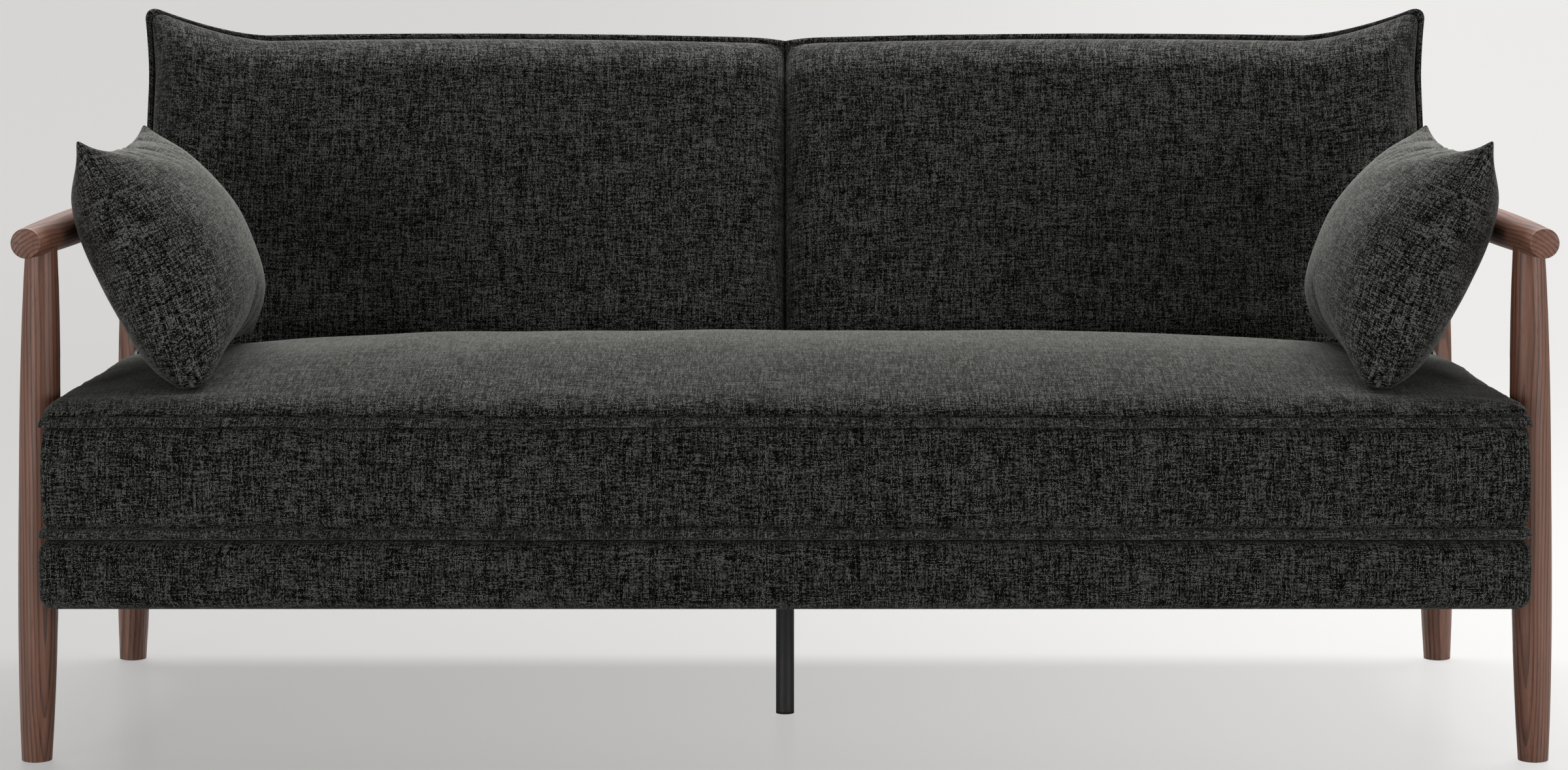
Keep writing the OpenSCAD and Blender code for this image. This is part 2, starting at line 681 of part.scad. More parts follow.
// The foam slab in front of the webbing, and the room behind it for the frame
module back_slab(gap) {
    x = back_low_half - 36 - gap;
    v = frame_v0 - web_t - gap - slab_v;
    translate([-x, slab_v + gap, back_u0 + slab_margin + 1 + gap])
        cube([2 * x, v - gap, back_h - 2 * slab_margin - 2 * gap]);
}
module frame_room() {
    translate([-frame_out - soft_gap, frame_v0 - web_t - soft_gap, back_lift - soft_gap])
        cube([2 * (frame_out + soft_gap), frame_t + web_t + 2 * soft_gap,
              frame_u1 - back_lift + 2 * soft_gap]);
}
module back_foam() { color(foam_white) backrest() back_slab(soft_gap); }
module frame_board(x0, x1, u0, u1) {
    translate([x0, frame_v0, u0]) cube([x1 - x0, frame_t, u1 - u0]);
}
module back_stile(left) {
    color(beech) backrest() side(left) difference() {
        frame_board(frame_out - frame_w, frame_out, back_lift, frame_u1);
        arm_bolt_holes(tight_play);
    }
}
module back_centre_stile() {
    color(beech) backrest()
        frame_board(-frame_w / 2, frame_w / 2, back_lift + frame_w, frame_u1 - frame_w);
}
module back_top_rail() {
    color(beech) backrest()
        frame_board(frame_w - frame_out, frame_out - frame_w, frame_u1 - frame_w, frame_u1);
}
module back_bottom_rail() {
    color(beech) backrest()
        frame_board(frame_w - frame_out, frame_out - frame_w, back_lift, back_lift + frame_w);
}
module back_webbing() {
    room = frame_u1 - back_lift - 2 * frame_w;
    strap = 0.62 * room / web_count;
    color(lining) backrest() for (i = [0:web_count - 1])
        translate([-frame_out, frame_v0 - web_t,
                   back_lift + frame_w + room * (i + 0.5) / web_count - strap / 2])
            cube([2 * frame_out, web_t, strap]);
}

// Click hinges, drawn for +X about the hinge axis and mirrored
module at_hinge(x) { translate([x, hinge_y, hinge_z]) rotate([90, 0, 90]) children(); }
module at_arm(x) {
    backrest() translate([x, 0, 0]) rotate([90, 0, 90]) children();
}
bracket_foot_y = [-18, 124];
bracket_foot_in = 34;
screw_y = [0, 53, 106];
module bracket_screw_holes(play) {
    for (y = screw_y) translate([rail_out - rail_t / 2, hinge_y + y, base_top - 40])
        cylinder(d = screw_d + 2 * play, h = 40 + hinge_t, $fn = 24);
}
// A flat link between two round ends
module link(a, ra, b, rb, thick) {
    u = (b - a) / norm(b - a);
    lean = (ra - rb) / norm(b - a);
    across = sqrt(1 - lean * lean) * [-u[1], u[0]];
    trim = 0.1;
    translate(a) cylinder(r = ra, h = thick);
    translate(b) cylinder(r = rb, h = thick);
    linear_extrude(thick)
        polygon([a + (ra - trim) * (lean * u + across), b + (rb - trim) * (lean * u + across),
            b + (rb - trim) * (lean * u - across), a + (ra - trim) * (lean * u - across)]);
}
module bracket_outline() {
    drop = -hinge_h;
    circle(r = 25);
    translate([stop_y, stop_z]) circle(r = 11);
    translate(anchor_pin) circle(r = 8);
    polygon([[-18, drop], [bracket_foot_y[1], drop], [bracket_foot_y[1], drop + 16],
        [stop_y + 11, stop_z], [anchor_pin[0] + 6, anchor_pin[1] + 6], [16, 19], [-18, 17]]);
}
module hinge_bracket(left) {
    window_low = 18 - hinge_h;
    color(steel) side(left) difference() {
        union() {
            at_hinge(bracket_x0) linear_extrude(hinge_t) difference() {
                bracket_outline();
                polygon([[-2, window_low], [stop_y + 4, window_low],
                    [stop_y - 22, window_low + 46], [-2, window_low + 56]]);
            }
            translate([bracket_x1 - bracket_foot_in, hinge_y + bracket_foot_y[0], base_top])
                cube([bracket_foot_in, bracket_foot_y[1] - bracket_foot_y[0], hinge_t]);
        }
        at_hinge(bracket_x0 - 1) {
            cylinder(d = pin_d + 2 * tight_play, h = hinge_t + 2);
            translate(pawl_pin) cylinder(d = pawl_pin_d + 2 * tight_play, h = hinge_t + 2);
            translate(anchor_pin) cylinder(d = anchor_d + 2 * tight_play, h = hinge_t + 2);
            translate([stop_y, stop_z]) cylinder(d = stop_d + 2 * tight_play, h = hinge_t + 2);
        }
        bracket_screw_holes(bolt_play);
    }
}
module arm_bolt_holes(play) {
    for (u = arm_bolt_u) translate([frame_out - 30, strap_mid, u]) rotate([0, 90, 0])
        cylinder(d = arm_bolt_d + 2 * play, h = arm_plate_x1 - frame_out + 30, $fn = 24);
}
module hinge_arm(left) {
    color(steel) side(left) difference() {
        at_arm(arm_plate_x0) {
            link([0, 0], arm_eye_r, [strap_mid, arm_knee_u], strap_r, hinge_t);
            link([strap_mid, arm_knee_u], strap_r, [strap_mid, arm_bolt_u[1] + 6], strap_r, hinge_t);
        }
        at_arm(arm_plate_x0 - 1) cylinder(d = pin_d + 2 * pin_play, h = hinge_t + 2);
        backrest() arm_bolt_holes(bolt_play);
    }
}
module notch() {
    polygon([[disc_r - notch_depth, -nose_w / 2 - 0.5], [disc_r + 3, -nose_w / 2 - 1.5],
        [disc_r + 3, nose_w / 2 + 1.5], [disc_r - notch_depth, nose_w / 2 + 0.5]]);
}
module ratchet_disc(left) {
    color(steel) side(left) at_hinge(disc_x0) difference() {
        linear_extrude(disc_t) difference() {
            circle(r = disc_r);
            for (step = [0:2]) rotate(nose_angle + step * fold / 2) notch();
        }
        translate([0, 0, -1]) cylinder(d = pin_d + 2 * pin_play, h = disc_t + 2);
    }
}
// The pawl in its lifted place, clear of the ratchet
module pawl(left) {
    flat = disc_r + 1;
    color(black_steel) side(left) at_hinge(disc_x0 + plate_gap / 2) difference() {
        translate(pawl_pin) rotate(pawl_lift) translate(-pawl_pin) rotate(nose_angle) union() {
            translate([pawl_radial, pawl_reach]) cylinder(r = pawl_eye_r, h = disc_t);
            linear_extrude(disc_t)
                polygon([[disc_r - notch_depth + 0.8, -nose_w / 2 + 1],
                    [disc_r - notch_depth + 0.8, nose_w / 2 - 1], [disc_r, nose_w / 2], [flat, nose_w],
                    [flat + 0.6, pawl_reach], [flat + 0.6, pawl_reach + 17],
                    [flat + 5, pawl_reach + 17], [pawl_radial + 8, pawl_reach + 4],
                    [pawl_radial + 5, nose_w], [flat + 6, -nose_w / 2]]);
        }
        translate([pawl_pin[0], pawl_pin[1], -1])
            cylinder(d = pawl_pin_d + 2 * pin_play, h = disc_t + 2);
    }
}
// A leaf spring from its anchor to just above the pawl's tail
module pawl_springs() {
    top = disc_r - 3.6;
    color(steel) both_sides() at_hinge(disc_x0 + plate_gap) {
        rotate(nose_angle) linear_extrude(disc_t - plate_gap)
            polygon([[top, pawl_reach + 9], [top + leaf_t, pawl_reach + 9],
                [anchor_r - anchor_d / 2 + leaf_t, anchor_t], [anchor_r - anchor_d / 2, anchor_t]]);
        translate(anchor_pin)
            cylinder(d = anchor_d, h = bracket_x1 - disc_x0 - plate_gap);
    }
}
module hinge_pins() {
    color(steel) both_sides() at_hinge(arm_plate_x0 - plate_gap - pin_head_t) {
        cylinder(d = pin_head_d, h = pin_head_t);
        cylinder(d = pin_d, h = bracket_x1 + 2 - arm_plate_x0 + plate_gap + pin_head_t);
        translate([0, 0, bracket_x1 - arm_plate_x0 + plate_gap + pin_head_t])
            cylinder(d1 = 1.6 * pin_d, d2 = 1.2 * pin_d, h = 2.5);
    }
}
module pawl_pins() {
    color(steel) both_sides() at_hinge(disc_x0 + 0.1) translate(pawl_pin) {
        cylinder(d = pawl_pin_d, h = bracket_x1 + 1.5 - disc_x0 - 0.1);
        translate([0, 0, bracket_x1 - disc_x0 - 0.1]) cylinder(d = 1.6 * pawl_pin_d, h = 1.5);
    }
}
module stop_pins() {
    color(steel) both_sides() at_hinge(arm_plate_x0) translate([stop_y, stop_z]) {
        cylinder(d = stop_d, h = bracket_x1 + 1.5 - arm_plate_x0);
        translate([0, 0, bracket_x1 - arm_plate_x0]) cylinder(d = 1.4 * stop_d, h = 1.5);
    }
}
module bracket_screws() {
    color(steel) both_sides() {
        bracket_screw_holes(0);
        for (y = screw_y)
            translate([rail_out - rail_t / 2, hinge_y + y, base_top + hinge_t])
                cylinder(d1 = 1.9 * screw_d, d2 = screw_d, h = 2.5, $fn = 24);
    }
}
module arm_bolts() {
    color(steel) both_sides() backrest() {
        arm_bolt_holes(0);
        for (u = arm_bolt_u) translate([arm_plate_x1, strap_mid, u]) rotate([0, 90, 0])
            cylinder(d1 = 2 * arm_bolt_d, d2 = 1.4 * arm_bolt_d, h = 3);
    }
}

// Throw pillows: X is towards the arm, Y along the arm and Z up the pillow's lean
module at_pillow(left) {
    side(left) translate([pillow_x, pillow_y, pillow_z]) rotate([0, pillow_lean, 0])
        rotate([pillow_roll, 0, 0]) children();
}
function pillow_edge(s, t, scale) = let (
    q = t * scale * pillow_w / 2 * (1 - pillow_draw * (1 - s * s)),
    up = scale * max(0, t))
    [-pillow_curl * up,
     s * scale * pillow_l / 2 * (1 - pillow_draw * (1 - t * t)) + pillow_shear * q,
     q - pillow_hang * up * (1 + s) / 2];
function pillow_swell(s, low, power) =
    pow(max(0, 1 - pow(abs(s), 3.2)), 0.55) * pow(max(0, 1 - pow(abs(low), power)), 0.56);
module pillow_form(scale, thick, seam, steps) {
    pad(eased(steps), eased(steps),
        function(s, t) pillow_edge(s, t, 0.985 * scale)
            + [thick * pillow_out * pillow_swell(s, t, 2.9) + seam, 0, 0],
        [function(s, t) pillow_edge(s, t, scale) + [seam / 2, 0, 0],
         function(s, t) pillow_edge(s, t, scale) - [seam / 2, 0, 0]],
        function(s, t) pillow_edge(s, t, 0.985 * scale)
            - [thick * pillow_in * pillow_swell(s, t + 0.16 * (1 - t * t), 1.9) + seam, 0, 0]);
}
module pillow_cover(left) {
    color(charcoal) at_pillow(left) difference() {
        pillow_form(1, 1, 1.5, 14);
        pillow_form(0.9, 0.88, 1.5, 6);
    }
}
module pillow_insert(left) { color(fibre_white) at_pillow(left) pillow_form(0.895, 0.87, 0.9, 6); }

leg(true, front_leg_y);  // front_leg_left
leg(false, front_leg_y);  // front_leg_right
leg(true, rear_leg_y);  // rear_leg_left
leg(false, rear_leg_y);  // rear_leg_right
arm_bar(true);  // arm_bar_left
arm_bar(false);  // arm_bar_right
leg_glides();
leg_bolts();
front_rail();
rear_rail();
side_rail(true);  // side_rail_left
side_rail(false);  // side_rail_right
seat_rear_rail();
cross_rails();
corner_blocks();
deck_board();
seat_springs();
spring_felt();
base_cover();
dust_cover();
centre_leg();
centre_leg_plate();
centre_leg_screws();
centre_leg_cap();
seat_cover();
seat_foam();
back_stile(true);  // back_stile_left
back_stile(false);  // back_stile_right
back_centre_stile();
back_top_rail();
back_bottom_rail();
back_webbing();
back_foam();
back_cover();
hinge_bracket(true);  // hinge_bracket_left
hinge_bracket(false);  // hinge_bracket_right
hinge_arm(true);  // hinge_arm_left
hinge_arm(false);  // hinge_arm_right
ratchet_disc(true);  // ratchet_disc_left
ratchet_disc(false);  // ratchet_disc_right
pawl(true);  // pawl_left
pawl(false);  // pawl_right
pawl_springs();
hinge_pins();
pawl_pins();
stop_pins();
bracket_screws();
arm_bolts();
pillow_cover(true);  // pillow_cover_left
pillow_cover(false);  // pillow_cover_right
pillow_insert(true);  // pillow_insert_left
pillow_insert(false);  // pillow_insert_right
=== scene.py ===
from math import cos, pi, radians, sin, tan

import bmesh
import bpy
import numpy as np
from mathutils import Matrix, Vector


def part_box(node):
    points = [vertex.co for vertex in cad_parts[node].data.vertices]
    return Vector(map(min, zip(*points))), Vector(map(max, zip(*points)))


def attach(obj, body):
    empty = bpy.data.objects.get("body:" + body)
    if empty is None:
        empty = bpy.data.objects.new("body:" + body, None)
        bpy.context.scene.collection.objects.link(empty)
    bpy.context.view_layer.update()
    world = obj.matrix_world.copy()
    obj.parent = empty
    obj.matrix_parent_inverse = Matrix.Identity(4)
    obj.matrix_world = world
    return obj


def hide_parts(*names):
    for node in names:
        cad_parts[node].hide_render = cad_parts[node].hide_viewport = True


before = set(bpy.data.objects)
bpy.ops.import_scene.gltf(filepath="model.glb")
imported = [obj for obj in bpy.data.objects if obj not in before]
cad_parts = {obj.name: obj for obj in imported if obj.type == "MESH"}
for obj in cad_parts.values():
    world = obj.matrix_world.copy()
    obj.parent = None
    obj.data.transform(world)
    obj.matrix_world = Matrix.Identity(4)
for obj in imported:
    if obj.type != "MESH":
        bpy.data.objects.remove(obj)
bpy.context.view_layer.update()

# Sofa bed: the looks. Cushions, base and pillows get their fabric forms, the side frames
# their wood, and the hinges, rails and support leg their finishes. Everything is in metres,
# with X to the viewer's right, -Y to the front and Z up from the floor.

bl_info = {
    "name": "Sofa bed",
    "version": (1, 0, 0),
    "blender": (4, 5, 0),
    "location": "3D View > Sidebar > Sofa bed",
    "description": "Gives the packed sofa bed its cushions, wood, metal and studio",
    "category": "Object",
}


# Sizes of the CAD solids that the soft pieces are fitted to
SEAT_HALF_X, SEAT_HALF_Y = 0.876, 0.284  # half the width and depth of the seat's top
SEAM_HEIGHT = 0.146  # the seat's top seam above its underside
LIP = 0.0066  # where the seat's top leaves the groove, above that seam
LEG_AXIS, LEG_MARK = 0.92296, 0.278  # a leg's axis from the sofa's middle, at that height
LEG_LEAN = radians(1.4)
LEG_RADIUS, LEG_SWELL, LEG_ABOVE = 0.025, 0.33904, 0.30696  # the swell's height, and over it


def linear(red, green, blue):
    """A screen colour, 0 to 255, as the linear colour that shaders use."""
    def channel(c):
        c = c / 255
        return c / 12.92 if c <= 0.04045 else ((c + 0.055) / 1.055) ** 2.4
    return (channel(red), channel(green), channel(blue), 1.0)


def shade(colour, factor):
    """The colour made lighter or darker."""
    return tuple(factor * c for c in colour[:3]) + (1.0,)


LENGTH = {"subtype": "DISTANCE", "unit": "LENGTH"}
COLOUR = {"subtype": "COLOR", "size": 4, "min": 0, "max": 1}


class SofaSizes(bpy.types.PropertyGroup):
    """Sizes that shape the soft pieces."""
    seat_crown: bpy.props.FloatProperty(
        name="Seat crown", description="Rise of the seat above its top seam",
        default=0.0634, min=0.03, max=0.07, **LENGTH)
    back_crown: bpy.props.FloatProperty(
        name="Back crown", description="Rise of the backrest in front of its flange",
        default=0.055, min=0.04, max=0.062, **LENGTH)
    channel: bpy.props.FloatProperty(
        name="Channel", description="Depth of the channel down the middle of the backrest",
        default=0.030, min=0.01, max=0.036, **LENGTH)
    recline: bpy.props.FloatProperty(
        name="Recline", description="Lean of the backrest from the vertical",
        default=radians(18), min=radians(14), max=radians(22), subtype="ANGLE", unit="ROTATION")
    pillow_cloth: bpy.props.FloatProperty(
        name="Pillow cloth", description="How far the pillows take the form of blown-up cloth",
        default=0.35, min=0.0, max=1.0, subtype="FACTOR")
    thread: bpy.props.FloatProperty(
        name="Thread", description="Spacing of the fabric's threads",
        default=0.00125, min=0.0008, max=0.003, precision=5, **LENGTH)


class SofaColours(bpy.types.PropertyGroup):
    """Colours of the finishes."""
    yarn_dark: bpy.props.FloatVectorProperty(
        name="Dark yarn", description="Darkest yarn of the upholstery",
        default=linear(7, 7, 7), **COLOUR)
    yarn_light: bpy.props.FloatVectorProperty(
        name="Light yarn", description="Lightest yarn of the upholstery",
        default=linear(113, 113, 109), **COLOUR)
    wood_dark: bpy.props.FloatVectorProperty(
        name="Dark wood", description="Late wood and pores of the walnut",
        default=linear(52, 31, 23), **COLOUR)
    wood_light: bpy.props.FloatVectorProperty(
        name="Light wood", description="Early wood of the walnut",
        default=linear(142, 95, 74), **COLOUR)
    leg_black: bpy.props.FloatVectorProperty(
        name="Black steel", description="Powder coat of the support leg",
        default=linear(30, 30, 31), **COLOUR)
    floor: bpy.props.FloatVectorProperty(
        name="Floor", description="Floor and backdrop",
        default=linear(229, 228, 226), **COLOUR)
    backdrop_left: bpy.props.FloatVectorProperty(
        name="Backdrop, left", description="Backdrop at the left of the photograph",
        default=linear(227, 226, 224), **COLOUR)
    backdrop_right: bpy.props.FloatVectorProperty(
        name="Backdrop, right", description="Backdrop at the right of the photograph",
        default=linear(253, 252, 250), **COLOUR)


# Shader maths

class Link:
    """One output of a node, for use in Python expressions."""

    def __init__(self, finish, socket):
        self.finish = finish
        self.socket = socket

    def math(self, operation, *others):
        return self.finish.math(operation, self, *others)

    def __add__(self, other):
        return self.math("ADD", other)

    def __mul__(self, other):
        return self.math("MULTIPLY", other)

    def __sub__(self, other):
        return self.math("SUBTRACT", other)

    def __rsub__(self, other):
        return self.finish.math("SUBTRACT", other, self)

    __radd__ = __add__
    __rmul__ = __mul__

    def clamp(self):
        return self.finish.node("Clamp", {}, {"Value": self})


class Finish:
    """A material under construction, with its Principled shader."""

    def __init__(self, name, **constants):
        self.material = bpy.data.materials.new(name)
        self.material.use_nodes = True
        self.tree = self.material.node_tree
        self.tree.nodes.clear()
        self.shader = self.tree.nodes.new("ShaderNodeBsdfPrincipled")
        output = self.tree.nodes.new("ShaderNodeOutputMaterial")
        self.tree.links.new(self.shader.outputs[0], output.inputs["Surface"])
        for name, value in constants.items():
            self.shader.inputs[name.replace("_", " ")].default_value = value

    def node(self, kind, settings, sockets, out=0):
        new = self.tree.nodes.new("ShaderNode" + kind)
        for key, value in settings.items():
            setattr(new, key, value)
        for key, value in sockets.items():
            if isinstance(value, Link):
                self.tree.links.new(value.socket, new.inputs[key])
            else:
                new.inputs[key].default_value = value
        return Link(self, new.outputs[out])

    def math(self, operation, *values):
        return self.node("Math", {"operation": operation}, dict(enumerate(values)))

    def set(self, **links):
        for name, link in links.items():
            self.tree.links.new(link.socket, self.shader.inputs[name.replace("_", " ")])
        return self.material

    def colour(self, factor, low, high):
        return self.node("Mix", {"data_type": "RGBA"}, {0: factor, 6: low, 7: high}, out=2)

    def place(self, scale=(1, 1, 1), shift=(0, 0, 0)):
        """Object coordinates, shifted and scaled."""
        return self.stretch(self.node("TexCoord", {}, {}, out=3), scale, shift)

    def stretch(self, vector, scale=(1, 1, 1), shift=(0, 0, 0)):
        return self.node("Mapping", {}, {"Vector": vector, "Location": shift, "Scale": scale})

    def cloth(self):
        """The piece's own map of its cloth, in metres."""
        return self.node("UVMap", {"uv_map": "cloth"}, {})

    def noise(self, vector, scale=1.0, detail=2.0, rough=0.5, twist=0.0):
        return self.node("TexNoise", {}, {
            "Vector": vector, "Scale": scale, "Detail": detail,
            "Roughness": rough, "Distortion": twist})

    def yarn(self, number, along, seed):
        """Tone of each thread by itself, thick and thin along its length."""
        thread = self.math("ROUND", number)
        own = self.node("CombineXYZ", {}, {0: thread * 13.7, 1: along * 0.045 + thread * 0.618,
                                           2: seed})
        group = self.node("CombineXYZ", {}, {0: number * 0.09, 1: along * 0.012, 2: seed + 5})
        return (self.noise(own, 1.0, 2.5, 0.62) * 0.86
                + self.noise(group, 1.0, 3.0, 0.6, 1.2) * 0.14)

    def part(self, vector, index):
        return self.node("SeparateXYZ", {}, {0: vector}, out=index)

    def step(self, value, low, high):
        """0 below low, 1 above high and a smooth rise between."""
        return self.node("MapRange", {"interpolation_type": "SMOOTHSTEP"}, {
            "Value": value, "From Min": low, "From Max": high})

    def bump(self, height, distance, strength=1.0):
        return self.node("Bump", {}, {
            "Height": height, "Distance": distance, "Strength": strength})


def weave(name, dark, light, thread, slub=1.0, fleck=1.05):
    """Plain weave of uneven yarn: each crossing has its own tone and each thread its slubs.
    A painted sheen makes its colour paler at grazing angles."""
    f = Finish(name, Roughness=0.92, Sheen_Weight=0.06, Sheen_Roughness=0.35,
               Specular_IOR_Level=0.02)
    cloth = f.cloth()
    a = f.part(cloth, 0) * (1 / thread)
    b = f.part(cloth, 1) * (1 / thread)
    across = (a * pi).math("COSINE")
    along = (b * pi).math("COSINE")
    over = across * along
    warp = across.math("ABSOLUTE") * (over * 0.42 + 0.58)
    weft = along.math("ABSOLUTE") * (0.58 - over * 0.42)
    height = warp.math("MAXIMUM", weft)
    warp_slub = f.yarn(a, b, 3.7)
    weft_slub = f.yarn(b, a, 9.1)
    crossing = f.node("CombineXYZ", {}, {0: a.math("ROUND"), 1: b.math("ROUND"), 2: 0.5})
    own = f.node("TexWhiteNoise", {"noise_dimensions": "3D"}, {"Vector": crossing})
    patch = f.noise(cloth, 11, 3.0, 0.6)
    top = f.step(over, -0.35, 0.35)
    yarn = top * warp_slub + (1 - top) * weft_slub
    streak = warp_slub + weft_slub - 1.0
    level = ((own - 0.5) * fleck + (yarn - 0.5) * 1.7 * slub + streak * 1.6 * slub
             + (patch - 0.5) * 0.12 + 0.495).clamp()
    # Painted sheen: the colour is made paler where the cloth is seen edge-on
    painted_sheen = f.node("LayerWeight", {}, {"Blend": 0.5}, out=1).math("POWER", 7.0)
    # The tone is darker in the gaps between the threads: painted shade
    tone = (level.math("POWER", 2.3) * (height * 0.80 + 0.20)
            + painted_sheen * (yarn * 1.1 + 0.25)).clamp()
    return f.set(Base_Color=f.colour(tone, dark, light),
                 Roughness=0.98 - tone * 0.14,
                 Normal=f.bump(height + own * 0.35 + yarn * 0.4, 0.0006, 0.85))


def upholstery(name, dark=1.0, light=1.0, **uneven):
    """The sofa's fabric, with its yarns made lighter or darker."""
    scene = bpy.context.scene
    colours = scene.sofa_colours
    return weave("upholstery_" + name, shade(colours.yarn_dark, dark),
                 shade(colours.yarn_light, light), scene.sofa_sizes.thread, **uneven)


def lining(name, dark, light, thread=0.0007):
    """Thin nonwoven or plain lining cloth on Object coordinates."""
    f = Finish(name, Roughness=0.95, Specular_IOR_Level=0.2)
    here = f.place()
    fibres = f.noise(f.stretch(here, (0.35 / thread, 0.9 / thread, 1 / thread)), 1.0, 3.0, 0.7, 0.6)
    dots = f.node("TexVoronoi", {"feature": "F1"}, {"Vector": here, "Scale": 0.4 / thread})
    tone = (fibres * 0.7 + f.step(dots, 0.1, 0.6) * 0.3).clamp()
    return f.set(Base_Color=f.colour(tone, dark, light), Roughness=0.98 - tone * 0.1,
                 Normal=f.bump(fibres + dots * 0.6, 0.0003, 0.6))


def by_axis(axis, along, across):
    """One value along an axis and another across it."""
    return tuple(along if a == axis else across for a in "xyz")


def wood(name, dark, light, axis, heart, ring=0.0052, grain=1.35, gloss=0.42):
    """Turned or sawn wood: growth rings round a heart beside the piece, rays and pores."""
    f = Finish(name, Specular_IOR_Level=0.45, Coat_Roughness=0.35)
    here = f.place(shift=tuple(-h for h in heart))
    x, y, z = (f.part(here, i) for i in range(3))
    first, second = {"x": (y, z), "y": (x, z), "z": (x, y)}[axis]
    long_scale = by_axis(axis, 2.2, 14)
    drift = f.noise(f.stretch(here, long_scale), 1.0, 2.0, 0.5)
    reach = (first * first + second * second).math("SQRT") + (drift - 0.5) * 0.024
    rings = (reach * (1 / ring)).math("FRACT")
    late = f.step(rings, 0.35, 0.95) * (1 - f.step(rings, 0.95, 1.0))
    pores = f.noise(f.stretch(here, by_axis(axis, 30, 1500)), 1.0, 2.0, 0.6)
    streaks = f.noise(f.stretch(here, by_axis(axis, 5, 260)), 1.0, 3.0, 0.6)
    cloud = f.noise(f.stretch(here, long_scale), 1.3, 3.0, 0.55)
    tone = (0.66 - late * 0.34 * grain + (streaks - 0.5) * 0.75 * grain
            + (cloud - 0.5) * 0.55 - f.step(pores, 0.60, 0.74) * 0.30 * grain).clamp()
    return f.set(Base_Color=f.colour(tone, dark, light),
                 Roughness=(1.0 - tone) * 0.12 + gloss + (pores - 0.5) * 0.08,
                 Coat_Weight=tone * 0.10 + 0.08,
                 Normal=f.bump(streaks * 0.4 - f.step(pores, 0.58, 0.76), 0.00018, 0.5))


def beech(name, axis):
    """Sawn beech for the hidden frames, with its heart well outside the piece."""
    return wood(name, linear(176, 138, 98), linear(214, 180, 138), axis,
                by_axis(axis, 0, 0.1), ring=0.014, grain=0.5, gloss=0.6)


def metal(name, colour, rough, axis=None, metallic=1.0, mottle=0.10, peel=0.0):
    """Plated or coated steel with uneven gloss, fine marks and, if coated, an even peel."""
    f = Finish(name, Metallic=metallic, Base_Color=colour)
    scale = by_axis(axis, 20, 900) if axis else (300, 300, 300)
    marks = f.noise(f.place(scale), 1.0, 3.0, 0.6)
    cloud = f.noise(f.place(), 22, 3.0, 0.5)
    grain = f.noise(f.place(), 1400, 1.0, 0.5)
    tone = ((cloud - 0.5) * 1.1 + (marks - 0.5) * 0.6 + 0.5).clamp()
    dark, light = shade(colour, 1 - 3 * mottle), shade(colour, 1 + mottle)
    return f.set(Base_Color=f.colour(tone, dark, light),
                 Roughness=(marks - 0.5) * 0.22 + (cloud - 0.5) * 0.18 + rough,
                 Normal=f.bump(marks * 0.5 + grain * (0.3 + peel), 0.00008 + 0.00012 * peel, 0.5))


def plywood(name, dark, light):
    """Birch plywood: faces with a soft figure, edges with their layers."""
    ply = 0.0015
    f = Finish(name, Specular_IOR_Level=0.4)
    here = f.place()
    figure = f.noise(f.stretch(here, (3, 60, 60)), 1.0, 3.0, 0.6)
    layers = f.step((f.part(here, 2) * (1 / ply)).math("FRACT"), 0.45, 0.55)
    tone = (figure * 0.8 + layers * 0.25 - 0.05).clamp()
    return f.set(Base_Color=f.colour(tone, dark, light), Roughness=0.75 - tone * 0.15,
                 Normal=f.bump(figure, 0.0001, 0.5))


def rubber(name, dark, light):
    """Matt rubber: small cells in an uneven tone."""
    size, rough = 0.0016, 0.8
    f = Finish(name, Specular_IOR_Level=0.3)
    here = f.place()
    pits = f.node("TexVoronoi", {"feature": "F1"}, {"Vector": here, "Scale": 1 / size})
    cloud = f.noise(here, 18, 3.0, 0.55)
    tone = (f.step(pits, 0.1, 0.7) * 0.5 + cloud * 0.5).clamp()
    return f.set(Base_Color=f.colour(tone, dark, light), Roughness=rough - (tone - 0.5) * 0.1,
                 Normal=f.bump(pits, size * 0.4, 0.5))


# Cloth forms

def waver(x, length, seed):
    """An uneven wave of about that length, from about -1 to 1."""
    pick = np.random.default_rng(seed)
    return sum(np.sin(2 * pi * x / length * pick.uniform(0.55, 1.7) + pick.uniform(0, 2 * pi))
               for _ in range(5)) / 2.6


def ruffle(x, y, length, seed):
    """The same over a surface."""
    pick = np.random.default_rng(seed)
    total = 0
    for _ in range(7):
        angle, pitch = pick.uniform(0, pi), 2 * pi / length * pick.uniform(0.6, 1.6)
        total = total + np.sin(pitch * (x * cos(angle) + y * sin(angle)) + pick.uniform(0, 2 * pi))
    return total / 3.2


def roll(distance, radius):
    """Rise of a rolled edge, 0 at the edge and 1 beyond the radius."""
    d = 1 - np.clip(distance / radius, 0, 1)
    return np.sqrt(np.maximum(0, 1 - d * d))


def eased(count, power=1.0):
    """Values from -1 to 1 that lie closer together near the ends."""
    even = -np.cos(pi * np.arange(count + 1) / count)
    return even * power + np.linspace(-1, 1, count + 1) * (1 - power)


def eased_pair(count, power=1.0):
    """The same for two halves side by side."""
    half = eased(count, power) * 0.5
    return np.concatenate([half - 0.5, half[1:] + 0.5])


def rim(ni, nj):
    """Grid places round the edge of a grid, as rows of (i, j)."""
    return np.array([(i, 0) for i in range(ni)] + [(ni, j) for j in range(nj)]
                    + [(i, nj) for i in range(ni, 0, -1)] + [(0, j) for j in range(nj, 0, -1)])


def on_rim(edge, *grids):
    """The values of grids at the places of their rim."""
    return [grid[edge[:, 1], edge[:, 0]] for grid in grids]


def lengths(places, axis):
    """Length along one direction of a grid of places, from its middle."""
    step = np.linalg.norm(np.diff(places, axis=axis), axis=-1)
    run = np.insert(np.cumsum(step, axis=axis), 0, 0, axis=axis)
    return run - np.take(run, [run.shape[axis] // 2], axis=axis)


